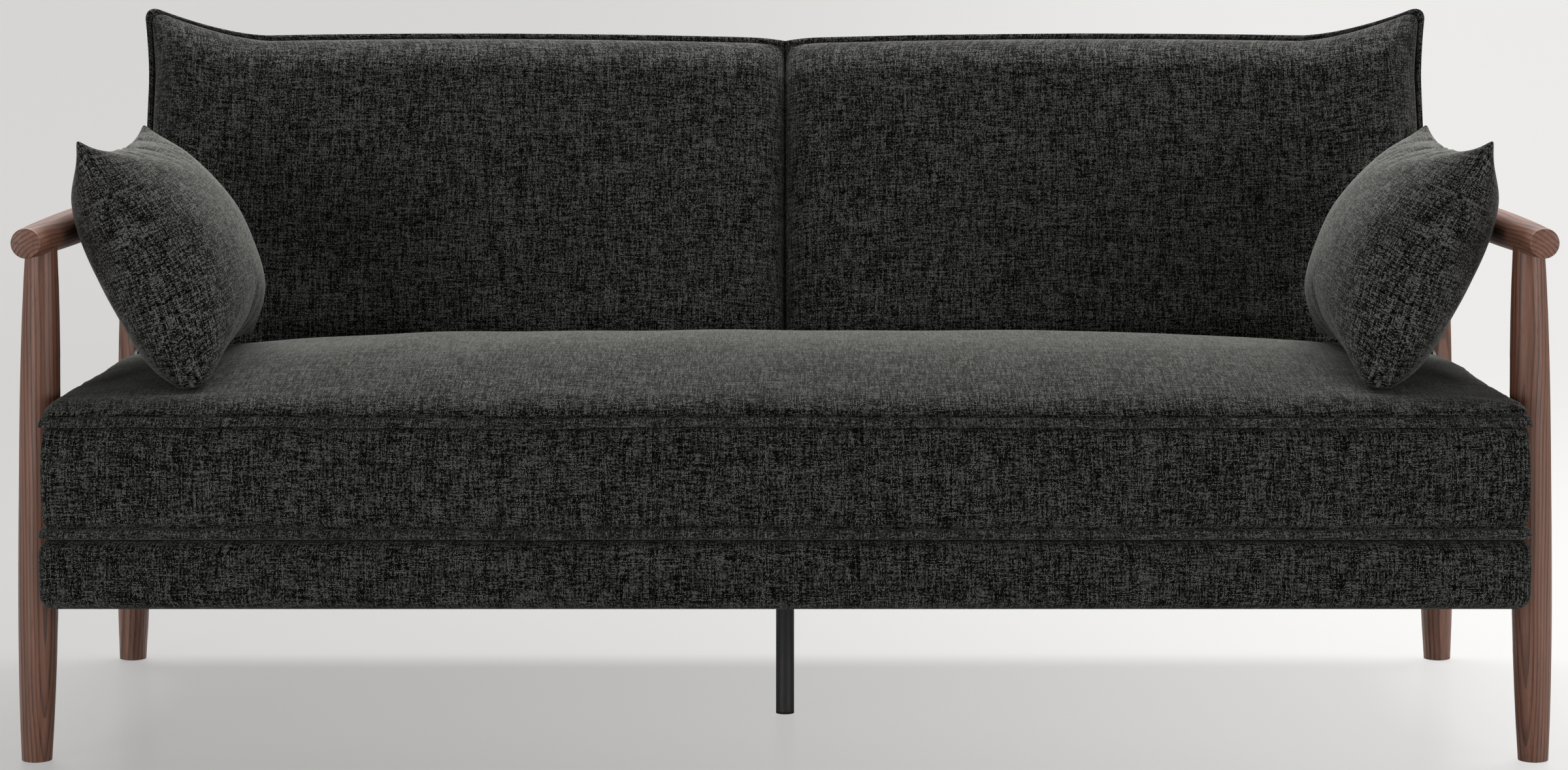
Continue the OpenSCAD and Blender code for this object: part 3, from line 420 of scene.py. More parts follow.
def pad(name, front, rings, rear=None):
    """A cloth form: a front grid, rings round its edge and, where it is closed, a rear grid."""
    nj, ni = front.shape[0] - 1, front.shape[1] - 1
    edge = rim(ni, nj)
    count = len(edge)
    mesh = bmesh.new()
    uv = mesh.loops.layers.uv.new("cloth")

    def grid(places):
        rows = [[mesh.verts.new(p) for p in row] for row in places]
        u, v = lengths(places, 1), lengths(places, 0)
        for j in range(nj):
            for i in range(ni):
                square = [(j, i), (j, i + 1), (j + 1, i + 1), (j + 1, i)]
                face = mesh.faces.new([rows[a][b] for a, b in square])
                for loop, (a, b) in zip(face.loops, square):
                    loop[uv].uv = (u[a, b], v[a, b])
        return rows

    front_rows = grid(front)
    loops = [[front_rows[j][i] for i, j in edge]]
    loops += [[mesh.verts.new(p) for p in ring] for ring in rings]
    if rear is not None:
        rear_rows = grid(rear)
        loops.append([rear_rows[j][i] for i, j in edge])
    at = np.array([[v.co[:] for v in loop] for loop in loops])
    middle = at[len(at) // 2]
    round_length = np.concatenate([[0], np.cumsum(np.linalg.norm(
        np.roll(middle, -1, axis=0) - middle, axis=1))])
    down = np.concatenate([np.zeros((1, count)), np.cumsum(
        np.linalg.norm(np.diff(at, axis=0), axis=2), axis=0)])
    for k in range(len(loops) - 1):
        for m in range(count):
            n = (m + 1) % count
            corners = [(k, m, m), (k, n, m + 1), (k + 1, n, m + 1), (k + 1, m, m)]
            face = mesh.faces.new([loops[a][b] for a, b, _ in corners])
            for loop, (a, b, c) in zip(face.loops, corners):
                loop[uv].uv = (round_length[c], down[a, b])
    bmesh.ops.recalc_face_normals(mesh, faces=mesh.faces)
    data = bpy.data.meshes.new(name)
    mesh.to_mesh(data)
    mesh.free()
    data.shade_smooth()
    obj = bpy.data.objects.new(name, data)
    bpy.context.scene.collection.objects.link(obj)
    return obj


def rounded(x, y, half_x, half_y, radius):
    """Points of a rectangle drawn in so that its corners are round."""
    u = np.clip((np.abs(x) - (half_x - radius)) / radius, 0, 1)
    v = np.clip((np.abs(y) - (half_y - radius)) / radius, 0, 1)
    pull_x = radius * u * (1 - np.sqrt(1 - v * v / 2))
    pull_y = radius * v * (1 - np.sqrt(1 - u * u / 2))
    return x - np.sign(x) * pull_x, y - np.sign(y) * pull_y


def points(obj):
    """The piece's vertices as rows of numbers."""
    at = np.empty(len(obj.data.vertices) * 3)
    obj.data.vertices.foreach_get("co", at)
    return at.reshape(-1, 3)


def only(obj):
    """Selects the piece alone and makes it the active one."""
    bpy.ops.object.select_all(action="DESELECT")
    bpy.context.view_layer.objects.active = obj
    obj.select_set(True)


def finish_with(obj, kind, **settings):
    """Adds a modifier to the piece and applies it."""
    only(obj)
    modifier = obj.modifiers.new("finish", kind)
    for name, value in settings.items():
        setattr(modifier, name, value)
    bpy.ops.object.modifier_apply(modifier=modifier.name)


def inflate(obj, pressure, frames, stiff, bend, mass):
    """Blows the piece up as sewn cloth under pressure and keeps the result."""
    only(obj)
    sim = obj.modifiers.new("cloth", "CLOTH")
    settings = {"quality": 5, "mass": mass, "tension_stiffness": stiff,
                "compression_stiffness": stiff, "shear_stiffness": stiff / 3,
                "tension_damping": 10, "compression_damping": 10, "shear_damping": 10,
                "bending_stiffness": bend, "air_damping": 2, "use_pressure": True,
                "uniform_pressure_force": pressure}
    for name, value in settings.items():
        setattr(sim.settings, name, value)
    sim.settings.effector_weights.gravity = 0
    sim.collision_settings.use_collision = False
    sim.point_cache.frame_start = 1
    sim.point_cache.frame_end = frames
    for number in range(1, frames + 1):
        bpy.context.scene.frame_set(number)
    bpy.ops.object.modifier_apply(modifier=sim.name)
    bpy.context.scene.frame_set(1)


def dress(obj, material, slot, body, *nodes):
    """Gives a piece its finish, the body it rides on and the CAD nodes it stands for."""
    obj.data.materials.clear()
    obj.data.materials.append(material)
    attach(obj, body)
    if nodes:
        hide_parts(*nodes)
    return obj


def paint(material, *nodes):
    """Gives CAD nodes their finish."""
    for name in nodes:
        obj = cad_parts[name]
        obj.data.materials.clear()
        obj.data.materials.append(material)


def turned(node, material, slot, body):
    """The CAD node's own form with its triangles merged and its round faces smooth."""
    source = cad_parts[node]
    obj = bpy.data.objects.new(node + "_turned", source.data.copy())
    bpy.context.scene.collection.objects.link(obj)
    only(obj)
    bpy.ops.object.mode_set(mode="EDIT")
    bpy.ops.mesh.select_all(action="SELECT")
    bpy.ops.mesh.customdata_custom_splitnormals_clear()
    bpy.ops.mesh.remove_doubles(threshold=0.00002)
    bpy.ops.mesh.tris_convert_to_quads(face_threshold=radians(20), shape_threshold=radians(30))
    bpy.ops.object.mode_set(mode="OBJECT")
    bpy.ops.object.shade_smooth_by_angle(angle=radians(32), keep_sharp_edges=False)
    obj.select_set(False)
    return dress(obj, material, slot, body, node)


# Places that the soft pieces take from the CAD

def leg_centre(z):
    """Distance from the middle of the sofa to a leg's axis at that height."""
    return LEG_AXIS + (LEG_MARK - z) * tan(LEG_LEAN)


def leg_radius(z):
    """A leg's radius at that height."""
    low = LEG_RADIUS - 0.0065 * np.clip(1 - z / LEG_SWELL, 0, 1) ** 2.9
    high = LEG_RADIUS - 0.006 * np.clip((z - LEG_SWELL) / LEG_ABOVE, 0, 1) ** 2.9
    return np.where(z < LEG_SWELL, low, high)


def clear_of_legs(x, y, z, gap=0.0004):
    """Keeps padding off the legs: it is pressed in where a leg stands and eases out beside it."""
    for name in ("front_leg_right", "rear_leg_right"):
        low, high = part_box(name)
        beside = np.abs(y - (low.y + high.y) / 2)
        wall = (leg_centre(z) - leg_radius(z) - gap
                + np.maximum(0, beside - 0.006) ** 2 / 0.055)
        x = np.sign(x) * np.minimum(np.abs(x), wall)
    return x


def crown(s, t):
    """Share of the seat's crown at a place on its top: a roll along its edges and a dome
    that is highest a little behind the middle."""
    crest, side_roll, front_roll, edge_share = 0.25, 0.022, 0.036, 0.24
    front = np.clip((crest - t) / (1 + crest), 0, 1)
    behind = np.clip((t - crest) / (1 - crest), 0, 1)
    dome = (1 - s ** 4) * np.where(t < crest, 1 - front ** 2, np.sqrt(1 - behind ** 4))
    edge = (roll((1 - np.abs(s)) * SEAT_HALF_X, side_roll)
            * roll((1 - np.abs(t)) * SEAT_HALF_Y, front_roll))
    return edge_share * edge + (1 - edge_share) * dome


def clear_of_sofa(at, seat_crown, droop):
    """Settles a pillow on the seat, its drooping corner too, and keeps it off the arm bar."""
    gap = 0.0008
    low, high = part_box("seat_cover")
    s = np.clip(np.abs(at[:, 0]) / high.x, 0, 1)
    t = np.clip((at[:, 1] - (low.y + high.y) / 2) / ((high.y - low.y) / 2), -1, 1)
    floor = low.z + SEAM_HEIGHT + LIP + (seat_crown - LIP) * crown(s, t) + gap
    for _ in range(3):
        hang = (at[:, 2] - floor).min()
        low_share = 1 - (at[:, 2] - at[:, 2].min()) / np.ptp(at[:, 2])
        at[:, 2] -= hang * low_share
    at[:, 2] = floor + np.maximum(0, at[:, 2] - floor) * (1 - droop)
    low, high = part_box("arm_bar_right")
    axis_x, axis_z, radius = (low.x + high.x) / 2, (low.z + high.z) / 2, (high.z - low.z) / 2
    x, z = np.abs(at[:, 0]) - axis_x, at[:, 2] - axis_z
    away = np.hypot(x, z)
    push = np.where((at[:, 1] > low.y) & (x <= 0),
                    np.maximum(1, (radius + gap) / np.maximum(away, 1e-6)), 1)
    at[:, 0] = np.sign(at[:, 0]) * (axis_x + x * push)
    at[:, 2] = axis_z + z * push
    return at


class SOFA_OT_camera(bpy.types.Operator):
    """Place the camera where the photograph was taken from"""
    bl_idname = "sofa.camera"
    bl_label = "Camera"

    def execute(self, context):
        wide, middle_y = 2400, 589.5
        focal, centre_y, aside = 5437, 373.5, 1.6  # in the photograph's pixels
        data = bpy.data.cameras.new("camera")
        data.sensor_width = 36.0
        data.lens = focal / wide * 36.0
        data.shift_x = -aside / wide
        data.shift_y = -(middle_y - centre_y) / wide
        data.clip_end = 200
        camera = bpy.data.objects.new("camera", data)
        away, height, pitch = 4.640, 0.981, radians(4.42)
        camera.location = (0.0, -away, height)
        camera.rotation_euler = (radians(90) - pitch, 0, 0)
        context.scene.collection.objects.link(camera)
        context.scene.camera = camera
        return {"FINISHED"}


class SOFA_OT_side_frames(bpy.types.Operator):
    """Finish the turned legs and arm bars in walnut, with their glides"""
    bl_idname = "sofa.side_frames"
    bl_label = "Side frames"

    def execute(self, context):
        colours = context.scene.sofa_colours
        hearts = {"front_leg_left": (0.012, -0.025), "front_leg_right": (-0.020, -0.030),
                  "rear_leg_left": (0.030, 0.014), "rear_leg_right": (-0.015, 0.028),
                  "arm_bar_left": (0.022, -0.026), "arm_bar_right": (-0.018, -0.026)}
        for name, (side, off) in hearts.items():  # beside the piece's own axis
            low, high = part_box(name)
            middle = (low + high) / 2
            axis, heart = "z", (middle.x + side, middle.y + off, 0.13 * len(name))
            if name.startswith("arm_bar"):
                axis, heart = "y", (middle.x + side, 0.3, middle.z + off)
            turned(name, wood("walnut_" + name, colours.wood_dark, colours.wood_light, axis,
                              heart), "walnut", "frame")
        paint(rubber("black_rubber", linear(16, 16, 16), linear(38, 38, 38)), "leg_glides")
        return {"FINISHED"}


class SOFA_OT_base(bpy.types.Operator):
    """Upholster the base, close its underside and finish the frame inside it"""
    bl_idname = "sofa.base"
    bl_label = "Base"

    def execute(self, context):
        low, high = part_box("base_cover")
        half_x, half_y, mid_y = high.x, (high.y - low.y) / 2, (high.y + low.y) / 2
        bottom, top = low.z + 0.0004, high.z - 0.0002
        corner = bend = 0.016
        ni, nj = 240, 96
        s, t = np.meshgrid(eased(ni, 0.35), eased(nj, 0.5))
        edge = rim(ni, nj)

        def ring(inset, z):
            hx, hy = half_x - inset, half_y - inset
            x, y = rounded(s * hx, t * hy, hx, hy, max(corner - inset, 0.004))
            x, y = on_rim(edge, x, y)
            run = x + y * 1.3
            puff = 0.0007 * waver(run, 0.22, 4) + 0.0003 * waver(run, 0.05, 5)
            share = np.sin(pi * np.clip((z - bottom) / (top - bottom), 0, 1))
            nx, ny = np.sign(x) * (np.abs(x) > hx - 0.01), np.sign(y) * (np.abs(y) > hy - 0.01)
            x = x + nx * (0.0012 + puff) * share
            y = y + ny * (0.0006 + puff) * share + mid_y
            return np.stack([clear_of_legs(x, y, z), y, np.full_like(x, z)], axis=1)

        arc = [(bend * (1 - sin(a)), bend * (1 - cos(a))) for a in np.linspace(0, pi / 2, 7)]
        rings = [ring(inset, top - drop) for inset, drop in arc]
        rings += [ring(0, z) for z in np.linspace(top - bend, bottom + bend, 13)[1:-1]]
        rings += [ring(inset, bottom + drop) for inset, drop in reversed(arc)]
        rings += [ring(0.024, bottom), ring(0.034, bottom + 0.0002)]
        hx, hy = half_x - bend - 0.001, half_y - bend - 0.001
        x, y = rounded(s * hx, t * hy, hx, hy, 0.004)
        lift = -0.0006 * (1 - ruffle(x, y, 0.3, 8)) * (1 - np.maximum(np.abs(s), np.abs(t)) ** 8)
        deck = np.stack([x, y + mid_y, top + lift], axis=2)
        cover = pad("base_upholstery", deck, rings)
        finish_with(cover, "SOLIDIFY", thickness=0.0012, offset=-1)
        dress(cover, upholstery("base"), "upholstery", "frame", "base_cover")

        paint(beech("beech", "x"), "front_rail", "rear_rail", "seat_rear_rail", "corner_blocks")
        paint(beech("beech_deep", "y"), "side_rail_left", "side_rail_right", "cross_rails")
        paint(plywood("plywood", linear(178, 146, 104), linear(222, 196, 154)), "deck_board")
        paint(metal("spring_steel", linear(150, 152, 156), 0.38), "seat_springs")
        paint(lining("felt", linear(38, 38, 38), linear(86, 86, 84), 0.0012), "spring_felt")
        paint(metal("bolt_steel", linear(176, 178, 182), 0.34), "leg_bolts")

        low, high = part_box("dust_cover")
        width, depth = high.x - low.x, high.y - low.y
        nx, ny = 90, 44
        s, t = np.meshgrid(np.linspace(-1, 1, nx + 1), np.linspace(-1, 1, ny + 1))
        x, y = s * width / 2, (low.y + high.y) / 2 + t * depth / 2
        open_share = (1 - s ** 8) * (1 - t ** 6)
        near_plate = np.exp(-((x / 0.10) ** 2 + (y / 0.10) ** 2))
        sag = (0.0016 + 0.0009 * ruffle(x, y, 0.22, 11)) * open_share * (1 - near_plate)
        cloth = np.stack([x, y, low.z + 0.0007 - sag], axis=2)
        cover = pad("dust_cloth", cloth, [])
        finish_with(cover, "SOLIDIFY", thickness=0.0005, offset=0)
        dress(cover, lining("lining", linear(20, 20, 20), linear(46, 46, 46)), "lining",
              "frame", "dust_cover")
        return {"FINISHED"}


class SOFA_OT_centre_leg(bpy.types.Operator):
    """Finish the steel support leg under the middle of the base"""
    bl_idname = "sofa.centre_leg"
    bl_label = "Centre leg"

    def execute(self, context):
        black = context.scene.sofa_colours.leg_black
        coat = metal("black_steel", tuple(black), 0.52, metallic=0.0, mottle=0.12, peel=1.0)
        turned("centre_leg", coat, "black_steel", "frame")
        turned("centre_leg_plate", coat, "black_steel", "frame")
        cap = rubber("cap_rubber", linear(14, 14, 14), linear(34, 34, 34))
        turned("centre_leg_cap", cap, "black_rubber", "frame")
        paint(metal("screw_steel", linear(170, 172, 176), 0.32), "centre_leg_screws")
        return {"FINISHED"}


class SOFA_OT_seat(bpy.types.Operator):
    """Make the crowned seat cushion with its two seam bands"""
    bl_idname = "sofa.seat"
    bl_label = "Seat cushion"

    def execute(self, context):
        seat_crown = context.scene.sofa_sizes.seat_crown
        low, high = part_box("seat_cover")
        low_half, taper = high.x + 0.0055, 0.0012
        mid_y, half_y = (low.y + high.y) / 2, (high.y - low.y) / 2
        base, seam = low.z, low.z + SEAM_HEIGHT
        ni, nj = 300, 120
        s, t = np.meshgrid(eased(ni, 0.55), eased(nj, 0.7))
        edge = rim(ni, nj)

        def plan(inset, z):
            half_x = low_half - taper * (z - base) / SEAM_HEIGHT
            hx, hy = half_x - inset, half_y - inset
            x, y = rounded(s * hx, t * hy, hx, hy, 0.009)
            return clear_of_legs(x, y + mid_y, z, 0.0012 + 0.3 * inset), y + mid_y

        def lie_of_seam(run):
            return 0.0016 * waver(run, 0.9, 21) + 0.0007 * waver(run, 0.21, 22)

        def ring(inset, z, sway=1, pucker=0):
            x, y = plan(inset, z)
            x, y = on_rim(edge, x, y)
            run = x + 1.7 * y
            corner = (np.abs(x) / low_half) ** 10
            dz = sway * lie_of_seam(run) * (1 - 0.8 * corner)
            push = pucker * (0.5 + 0.5 * waver(run, 0.035, 23)) * 0.0012
            nx = np.sign(x) * (np.abs(x) > low_half - taper - inset - 0.012)
            ny = np.sign(y - mid_y) * (np.abs(y - mid_y) > half_y - inset - 0.012)
            share = np.sin(pi * np.clip((z - base) / SEAM_HEIGHT, 0, 1))
            bulge = 0.0010 * waver(run, 0.4, 24) * share
            return np.stack([x - nx * (push - bulge), y - ny * (push - bulge),
                             np.full_like(x, z) + dz], axis=1)

        x, y = plan(0.0052, seam)
        rise = LIP + (seat_crown - LIP) * crown(s, t)
        away = np.minimum((1 - np.abs(s)) * low_half, (1 - np.abs(t)) * half_y)
        run = x + 1.7 * y
        lie = lie_of_seam(run) * np.exp(-away / 0.03)
        pull = 0.0012 * waver(run, 0.030, 27) * np.exp(-away / 0.016) * (1 - np.exp(-away / 0.003))
        ease = 0.0011 * ruffle(x, y, 0.26, 28) * (1 - np.exp(-away / 0.05))
        top = np.stack([x, y, seam + rise + lie + pull + ease], axis=2)

        # inset, rise over the seam or the underside, and shares of the seam's waves and puckers
        near_seam = [
            (0.0096, 0.0061), (0.0098, 0.0032), (0.0044, 0.0030), (0.0034, 0.0026),
            (0.0028, 0.0014), (0.0018, -0.0024), (0.0008, -0.0056), (0.0000, -0.0076),
            (0.0006, -0.0084), (0.0030, -0.0087), (0.0096, -0.0088, 1, 0.2),
            (0.0098, -0.0112, 1, 0.3), (0.0062, -0.0122, 1, 1.0), (0.0048, -0.0165, 0.8, 1.0),
            (0.0036, -0.024, 0.6, 0.7), (0.0028, -0.036, 0.4, 0.3), (0.0022, -0.052, 0.2),
            (0.0020, -0.070, 0.2), (0.0021, -0.088, 0.3), (0.0026, -0.103, 0.4, 0.2),
            (0.0034, -0.115, 0.7, 0.6)]
        near_base = [
            (0.0044, 0.0215, 0.9, 1.0), (0.0060, 0.0168, 1, 1.0), (0.0086, 0.0156, 1, 0.3),
            (0.0084, 0.0136, 1, 0.2), (0.0034, 0.0134), (0.0018, 0.0124), (0.0006, 0.0090),
            (0.0000, 0.0055), (0.0005, 0.0030, 0.8), (0.0025, 0.0014, 0.4), (0.0080, 0.0004, 0)]
        rings = [ring(inset, start + rise, *shares)
                 for start, rows in ((seam, near_seam), (base, near_base))
                 for inset, rise, *shares in rows]
        x, y = plan(0.016, base)
        under = np.stack([x, y, np.full_like(x, base + 0.0001)], axis=2)
        cushion = pad("seat_cushion", top, rings, under)
        dress(cushion, upholstery("seat"), "upholstery", "frame", "seat_cover", "seat_foam")
        # The bands' cloth has less contrast, as the tape is smoother, and is also made lighter as
        # painted light
        cushion.data.materials.append(upholstery("band", 2.6, 1.35, slub=0.6, fleck=0.8))
        # The bands lie between the grooves of the profile
        for face in cushion.data.polygons:
            height = face.center.z - seam
            on_band = -0.0090 < height < 0.0032 or 0 < face.center.z - base < 0.0136
            outside = (abs(face.center.x) > low_half - 0.0075
                       or abs(face.center.y - mid_y) > half_y - 0.0056)
            face.material_index = int(on_band and outside)
        return {"FINISHED"}


class SOFA_OT_back(bpy.types.Operator):
    """Make the backrest with its flange, ears and channel, and finish its frame"""
    bl_idname = "sofa.back"
    bl_label = "Backrest"

    # Top and foot of the flange along the lean, from the hinges' axis, and the body's depth
    height, low, body = 0.478, -0.005, 0.070
    # Half the width at the foot, and from 70 % of the height up
    low_half, wide_half = 0.8751, 0.8891
    # The ears' rise and outward flare, how far they reach down and in, and the corners' radius
    ear_rise, flare, ear_drop, ear_reach, blunt = 0.051, 0.012, 0.120, 0.170, 0.022

    def half(self, u):
        wide = np.clip(u / (0.7 * self.height), 0, 1) ** 1.5
        ear = np.clip(1 - (self.height + self.ear_rise - u) / self.ear_drop, 0, None) ** 1.6
        return self.low_half + (self.wide_half - self.low_half) * wide + self.flare * ear

    def top(self, s):
        ear = np.clip(1 - (1 - np.abs(s)) * self.wide_half / self.ear_reach, 0, None) ** 1.6
        return (self.height - 0.004 * (1 - np.clip(np.abs(s) / 0.06, 0, 1)) ** 2
                + 0.007 * (1 - (2 * np.abs(s) - 1) ** 2) + self.ear_rise * ear)

    def execute(self, context):
        sizes = context.scene.sofa_sizes
        ni, nj = 150, 110
        s, t = np.meshgrid(eased_pair(ni, 0.8), eased(nj, 0.75))
        wide, tall = self.wide_half, self.height / 2
        a, b = rounded(s * wide, t * tall, wide, tall, self.blunt)
        a, b = a / wide, b / tall
        edge = rim(2 * ni, nj)
        axis_y, axis_z = 0.200, 0.430  # the hinges' axis
        lean_sin, lean_cos = sin(sizes.recline), cos(sizes.recline)

        def flat(inset):
            upper = self.top(a) - inset
            u = self.low + inset + (b + 1) / 2 * (upper - self.low - inset)
            return a * (self.half(u) - inset), u, upper

        def stand(x, v, u):
            return np.stack([x, axis_y + v * lean_cos + u * lean_sin,
                             axis_z + u * lean_cos - v * lean_sin], axis=-1)

        def ring(inset, v, wave=0.0):
            x, u = on_rim(edge, *flat(inset)[:2])
            run = x + 1.9 * u
            v = v + wave * (0.0012 * waver(run, 0.31, 41) + 0.0005 * waver(run, 0.07, 42))
            return stand(x, v, u)

        x, u, upper = flat(0.0092)
        side = (1 - np.abs(s)) * self.wide_half
        up, down = (1 + t) / 2 * (upper - self.low), (1 - t) / 2 * (upper - self.low)
        swell = sizes.back_crown - 0.007 * (2 * np.abs(s) - 1) ** 2
        rise = (roll(side, 0.066) * roll(np.minimum(up, down), 0.064)) ** 1.55 * swell
        cleft = roll(down, 0.034) * roll(up, 0.034)
        rise = rise - sizes.channel * np.clip(1 - np.abs(x) / 0.050, 0, 1) ** 2.3 * cleft
        rise = rise - 0.009 * np.clip(1 - np.abs(x) / 0.008, 0, 1) ** 1.4 * cleft
        away = np.minimum(np.minimum(up, down), side)
        run = x + 1.9 * u
        pull = 0.0011 * waver(run, 0.033, 43) * np.exp(-away / 0.016) * (1 - np.exp(-away / 0.003))
        ease = 0.0016 * ruffle(x, u, 0.24, 44) * (1 - np.exp(-away / 0.06))
        beside = np.exp(-(np.abs(x) - 0.014) ** 2 / 0.0002)
        tuck = -0.0016 * (0.5 + 0.5 * waver(u, 0.05, 45)) * beside
        tip = np.hypot(side, np.maximum(self.height + self.ear_rise - u, 0))
        ears = -0.0022 * np.exp(-((tip - 0.10) / 0.05) ** 2) * (
            0.5 + 0.5 * np.sin(9 * np.arctan2(self.height + self.ear_rise - u, side + 1e-6)))
        front = stand(x, -0.0030 - rise - pull - ease - tuck * cleft - ears, u)

        # inset, depth behind the flange's middle and share of the waves
        profile = [
            (0.0094, -0.0010, 0), (0.0090, 0.0012, 0), (0.0082, 0.0012, 0), (0.0076, -0.0012, 0),
            (0.0068, -0.0030, 0.2), (0.0044, -0.0036, 0.3), (0.0018, -0.0032, 0.3),
            (0.0003, -0.0018, 0.3), (0.0000, 0.0, 0.3), (0.0002, 0.0016, 0.3),
            (0.0014, 0.0028, 0.3), (0.0040, 0.0031, 0.2), (0.0072, 0.0028, 0), (0.0084, 0.0026, 0),
            (0.0086, 0.0050, 0.2), (0.0072, 0.012, 0.8), (0.0056, 0.022, 1),
            (0.0050, 0.034, 1), (0.0054, 0.046, 1), (0.0070, 0.056, 0.8),
            (0.0092, 0.0625, 0.5), (0.0125, 0.0670, 0.3), (0.0165, 0.0692, 0.1)]
        rings = [ring(*row) for row in profile]
        x, u, upper = flat(0.021)
        side = (1 - np.abs(s)) * self.wide_half
        away = np.minimum(np.minimum(u - self.low, upper - u), side)
        calm = 0.0010 * (ruffle(x, u, 0.33, 47) - 1) * (1 - np.exp(-away / 0.05))
        rear = stand(x, self.body - 0.0002 + calm, u)
        cushion = pad("back_cushion", front, rings, rear)
        # The back's cloth is the seat's made lighter: painted light on the backrest
        dress(cushion, upholstery("back", light=1.2), "upholstery", "back", "back_cover",
              "back_foam")

        paint(beech("beech_back", "z"), "back_stile_left", "back_stile_right",
              "back_centre_stile")
        paint(beech("beech_back_long", "x"), "back_top_rail", "back_bottom_rail")
        paint(lining("webbing", linear(24, 24, 24), linear(60, 60, 60), 0.0018), "back_webbing")
        return {"FINISHED"}


class SOFA_OT_pillows(bpy.types.Operator):
    """Make the two throw pillows that lean on the arms"""
    bl_idname = "sofa.pillows"
    bl_label = "Throw pillows"

    # Length and height, how far the edges draw in, and the lean along the arm
    long, high, pinch, shear = 0.465, 0.333, 0.09, 0.09
    # Bulge towards the seat's middle and towards the arm, and hang and curl of the upper edge
    bulge_in, bulge_out, hang, curl = 0.083, 0.090, 0.005, 0.008
    cut_long, cut_high = 0.50, 0.37  # the flat panels that are sewn and blown up

    def draw_in(self, s):
        """How far an edge draws in between its corners, which stay out like fingertips."""
        return self.pinch * (1 - 0.3 * np.abs(s) ** 3 - 0.7 * np.abs(s) ** 14)

    def bend(self, x, y, z):
        """The seam leans along the arm, the upper rear corner hangs and the lower front one
        drops over the seat's roll."""
        s, up = 2 * y / self.long, np.maximum(0, 2 * z / self.high)
        drop = np.maximum(0, -s) ** 2 * np.clip(-2 * z / self.high, 0, 1) ** 2
        horn = 0.010 * np.maximum(0, -s) ** 6 * up ** 6
        return np.stack([x + self.curl * up + 0.008 * drop, y + self.shear * z - 0.030 * drop,
                         z - self.hang * up * (1 + s) / 2 - 0.016 * drop + horn], axis=-1)

    def drawn(self, s, t, edge):
        """The pillow as the photograph shows it, in the order of the cloth's points."""
        blunt_s, blunt_t = rounded(s, t, 1, 1, 0.26)
        s, t = rounded(s, t, 1, 1, 0.06)
        low_front = (s < 0) & (t < 0)
        s, t = np.where(low_front, blunt_s, s), np.where(low_front, blunt_t, t)
        z = t * self.high / 2 * (1 - self.draw_in(s) * (1 + 0.5 * t))
        y = s * self.long / 2 * (1 - self.draw_in(t))

        def bulge(low, power):
            return (np.maximum(0, 1 - np.abs(s) ** 3.2) ** 0.55
                    * np.maximum(0, 1 - np.abs(low) ** power) ** 0.56)

        tilt = t + 0.16 * (1 - t * t)
        outer = self.bulge_out * bulge(t, np.where(t < 0, 9.0, 2.9)) + 0.001
        inner = self.bulge_in * bulge(tilt, np.where(tilt < 0, 2.8, 1.9)) + 0.001
        seam = np.stack(on_rim(edge, 0 * y, y * 1.004, z * 1.006), axis=1)
        return np.concatenate([np.stack([outer, y, z], axis=2).reshape(-1, 3), seam,
                               np.stack([-inner, y, z], axis=2).reshape(-1, 3)])

    def execute(self, context):
        sizes = context.scene.sofa_sizes
        # The pillows' cloth is the seat's made lighter: painted light on the pillows
        fabric = upholstery("pillow", light=1.4)
        ni, nj = 100, 74
        s, t = np.meshgrid(np.linspace(-1, 1, ni + 1), np.linspace(-1, 1, nj + 1))
        edge = rim(ni, nj)
        form = self.drawn(s, t, edge)
        front, low = -form[:, 1] * 2 / self.long, -form[:, 2] * 2 / self.high
        droop = np.clip(np.maximum(0, front) * np.maximum(0, low), 0, 1) ** 4
        a, b = rounded(s, t, 1, 1, 0.05)
        x = 0.002 + 0.020 * np.sqrt((1 - s ** 4) * (1 - t ** 4))
        y, z = a * self.cut_long / 2, b * self.cut_high / 2
        seam = np.stack(on_rim(edge, 0 * y, y * 1.006, z * 1.008), axis=1)
        cloth = pad("pillow_pattern", np.stack([x, y, z], axis=2), [seam],
                    np.stack([-x, y, z], axis=2))
        inflate(cloth, pressure=6.0, frames=24, stiff=15, bend=2.0, mass=0.3)
        blown = points(cloth)
        low, high = blown.min(axis=0), blown.max(axis=0)
        blown = (blown - (low + high) / 2) / (high - low)
        low, high = form.min(axis=0), form.max(axis=0)
        blown = blown * (high - low) + (low + high) / 2
        form = form + sizes.pillow_cloth * (blown - form)
        form = self.bend(*form.T)
        lean, tip = radians(25.5), radians(1.4)
        out, ahead, up = 0.785, 0.0995, 0.6301
        x, y, z = form.T
        y, z = y * cos(tip) - z * sin(tip), y * sin(tip) + z * cos(tip)
        x, z = x * cos(lean) + z * sin(lean), -x * sin(lean) + z * cos(lean)
        for side, name in ((-1, "left"), (1, "right")):
            pillow = cloth.copy()
            pillow.data = cloth.data.copy()
            pillow.name = "throw_pillow_" + name
            context.scene.collection.objects.link(pillow)
            at = np.stack([side * (x + out), y - ahead, z + up], axis=-1)
            pillow.data.vertices.foreach_set(
                "co", clear_of_sofa(at, sizes.seat_crown, droop).reshape(-1))
            if side < 0:
                pillow.data.flip_normals()
            pillow.data.update()
            finish_with(pillow, "SMOOTH", factor=0.5, iterations=2)
            at = points(pillow)
            count = (ni + 1) * (nj + 1)
            hem = slice(count, count + len(edge))
            away = at[hem] - (at[:count].mean(axis=0) + at[hem.stop:].mean(axis=0)) / 2
            at[hem] += 0.0026 * away / np.linalg.norm(away, axis=1, keepdims=True)
            pillow.data.vertices.foreach_set("co", at.reshape(-1))
            finish_with(pillow, "SUBSURF", levels=1, render_levels=1)
            dress(pillow, fabric, "upholstery", "pillow_" + name,
                  "pillow_cover_" + name, "pillow_insert_" + name)
        bpy.data.objects.remove(cloth)
        return {"FINISHED"}


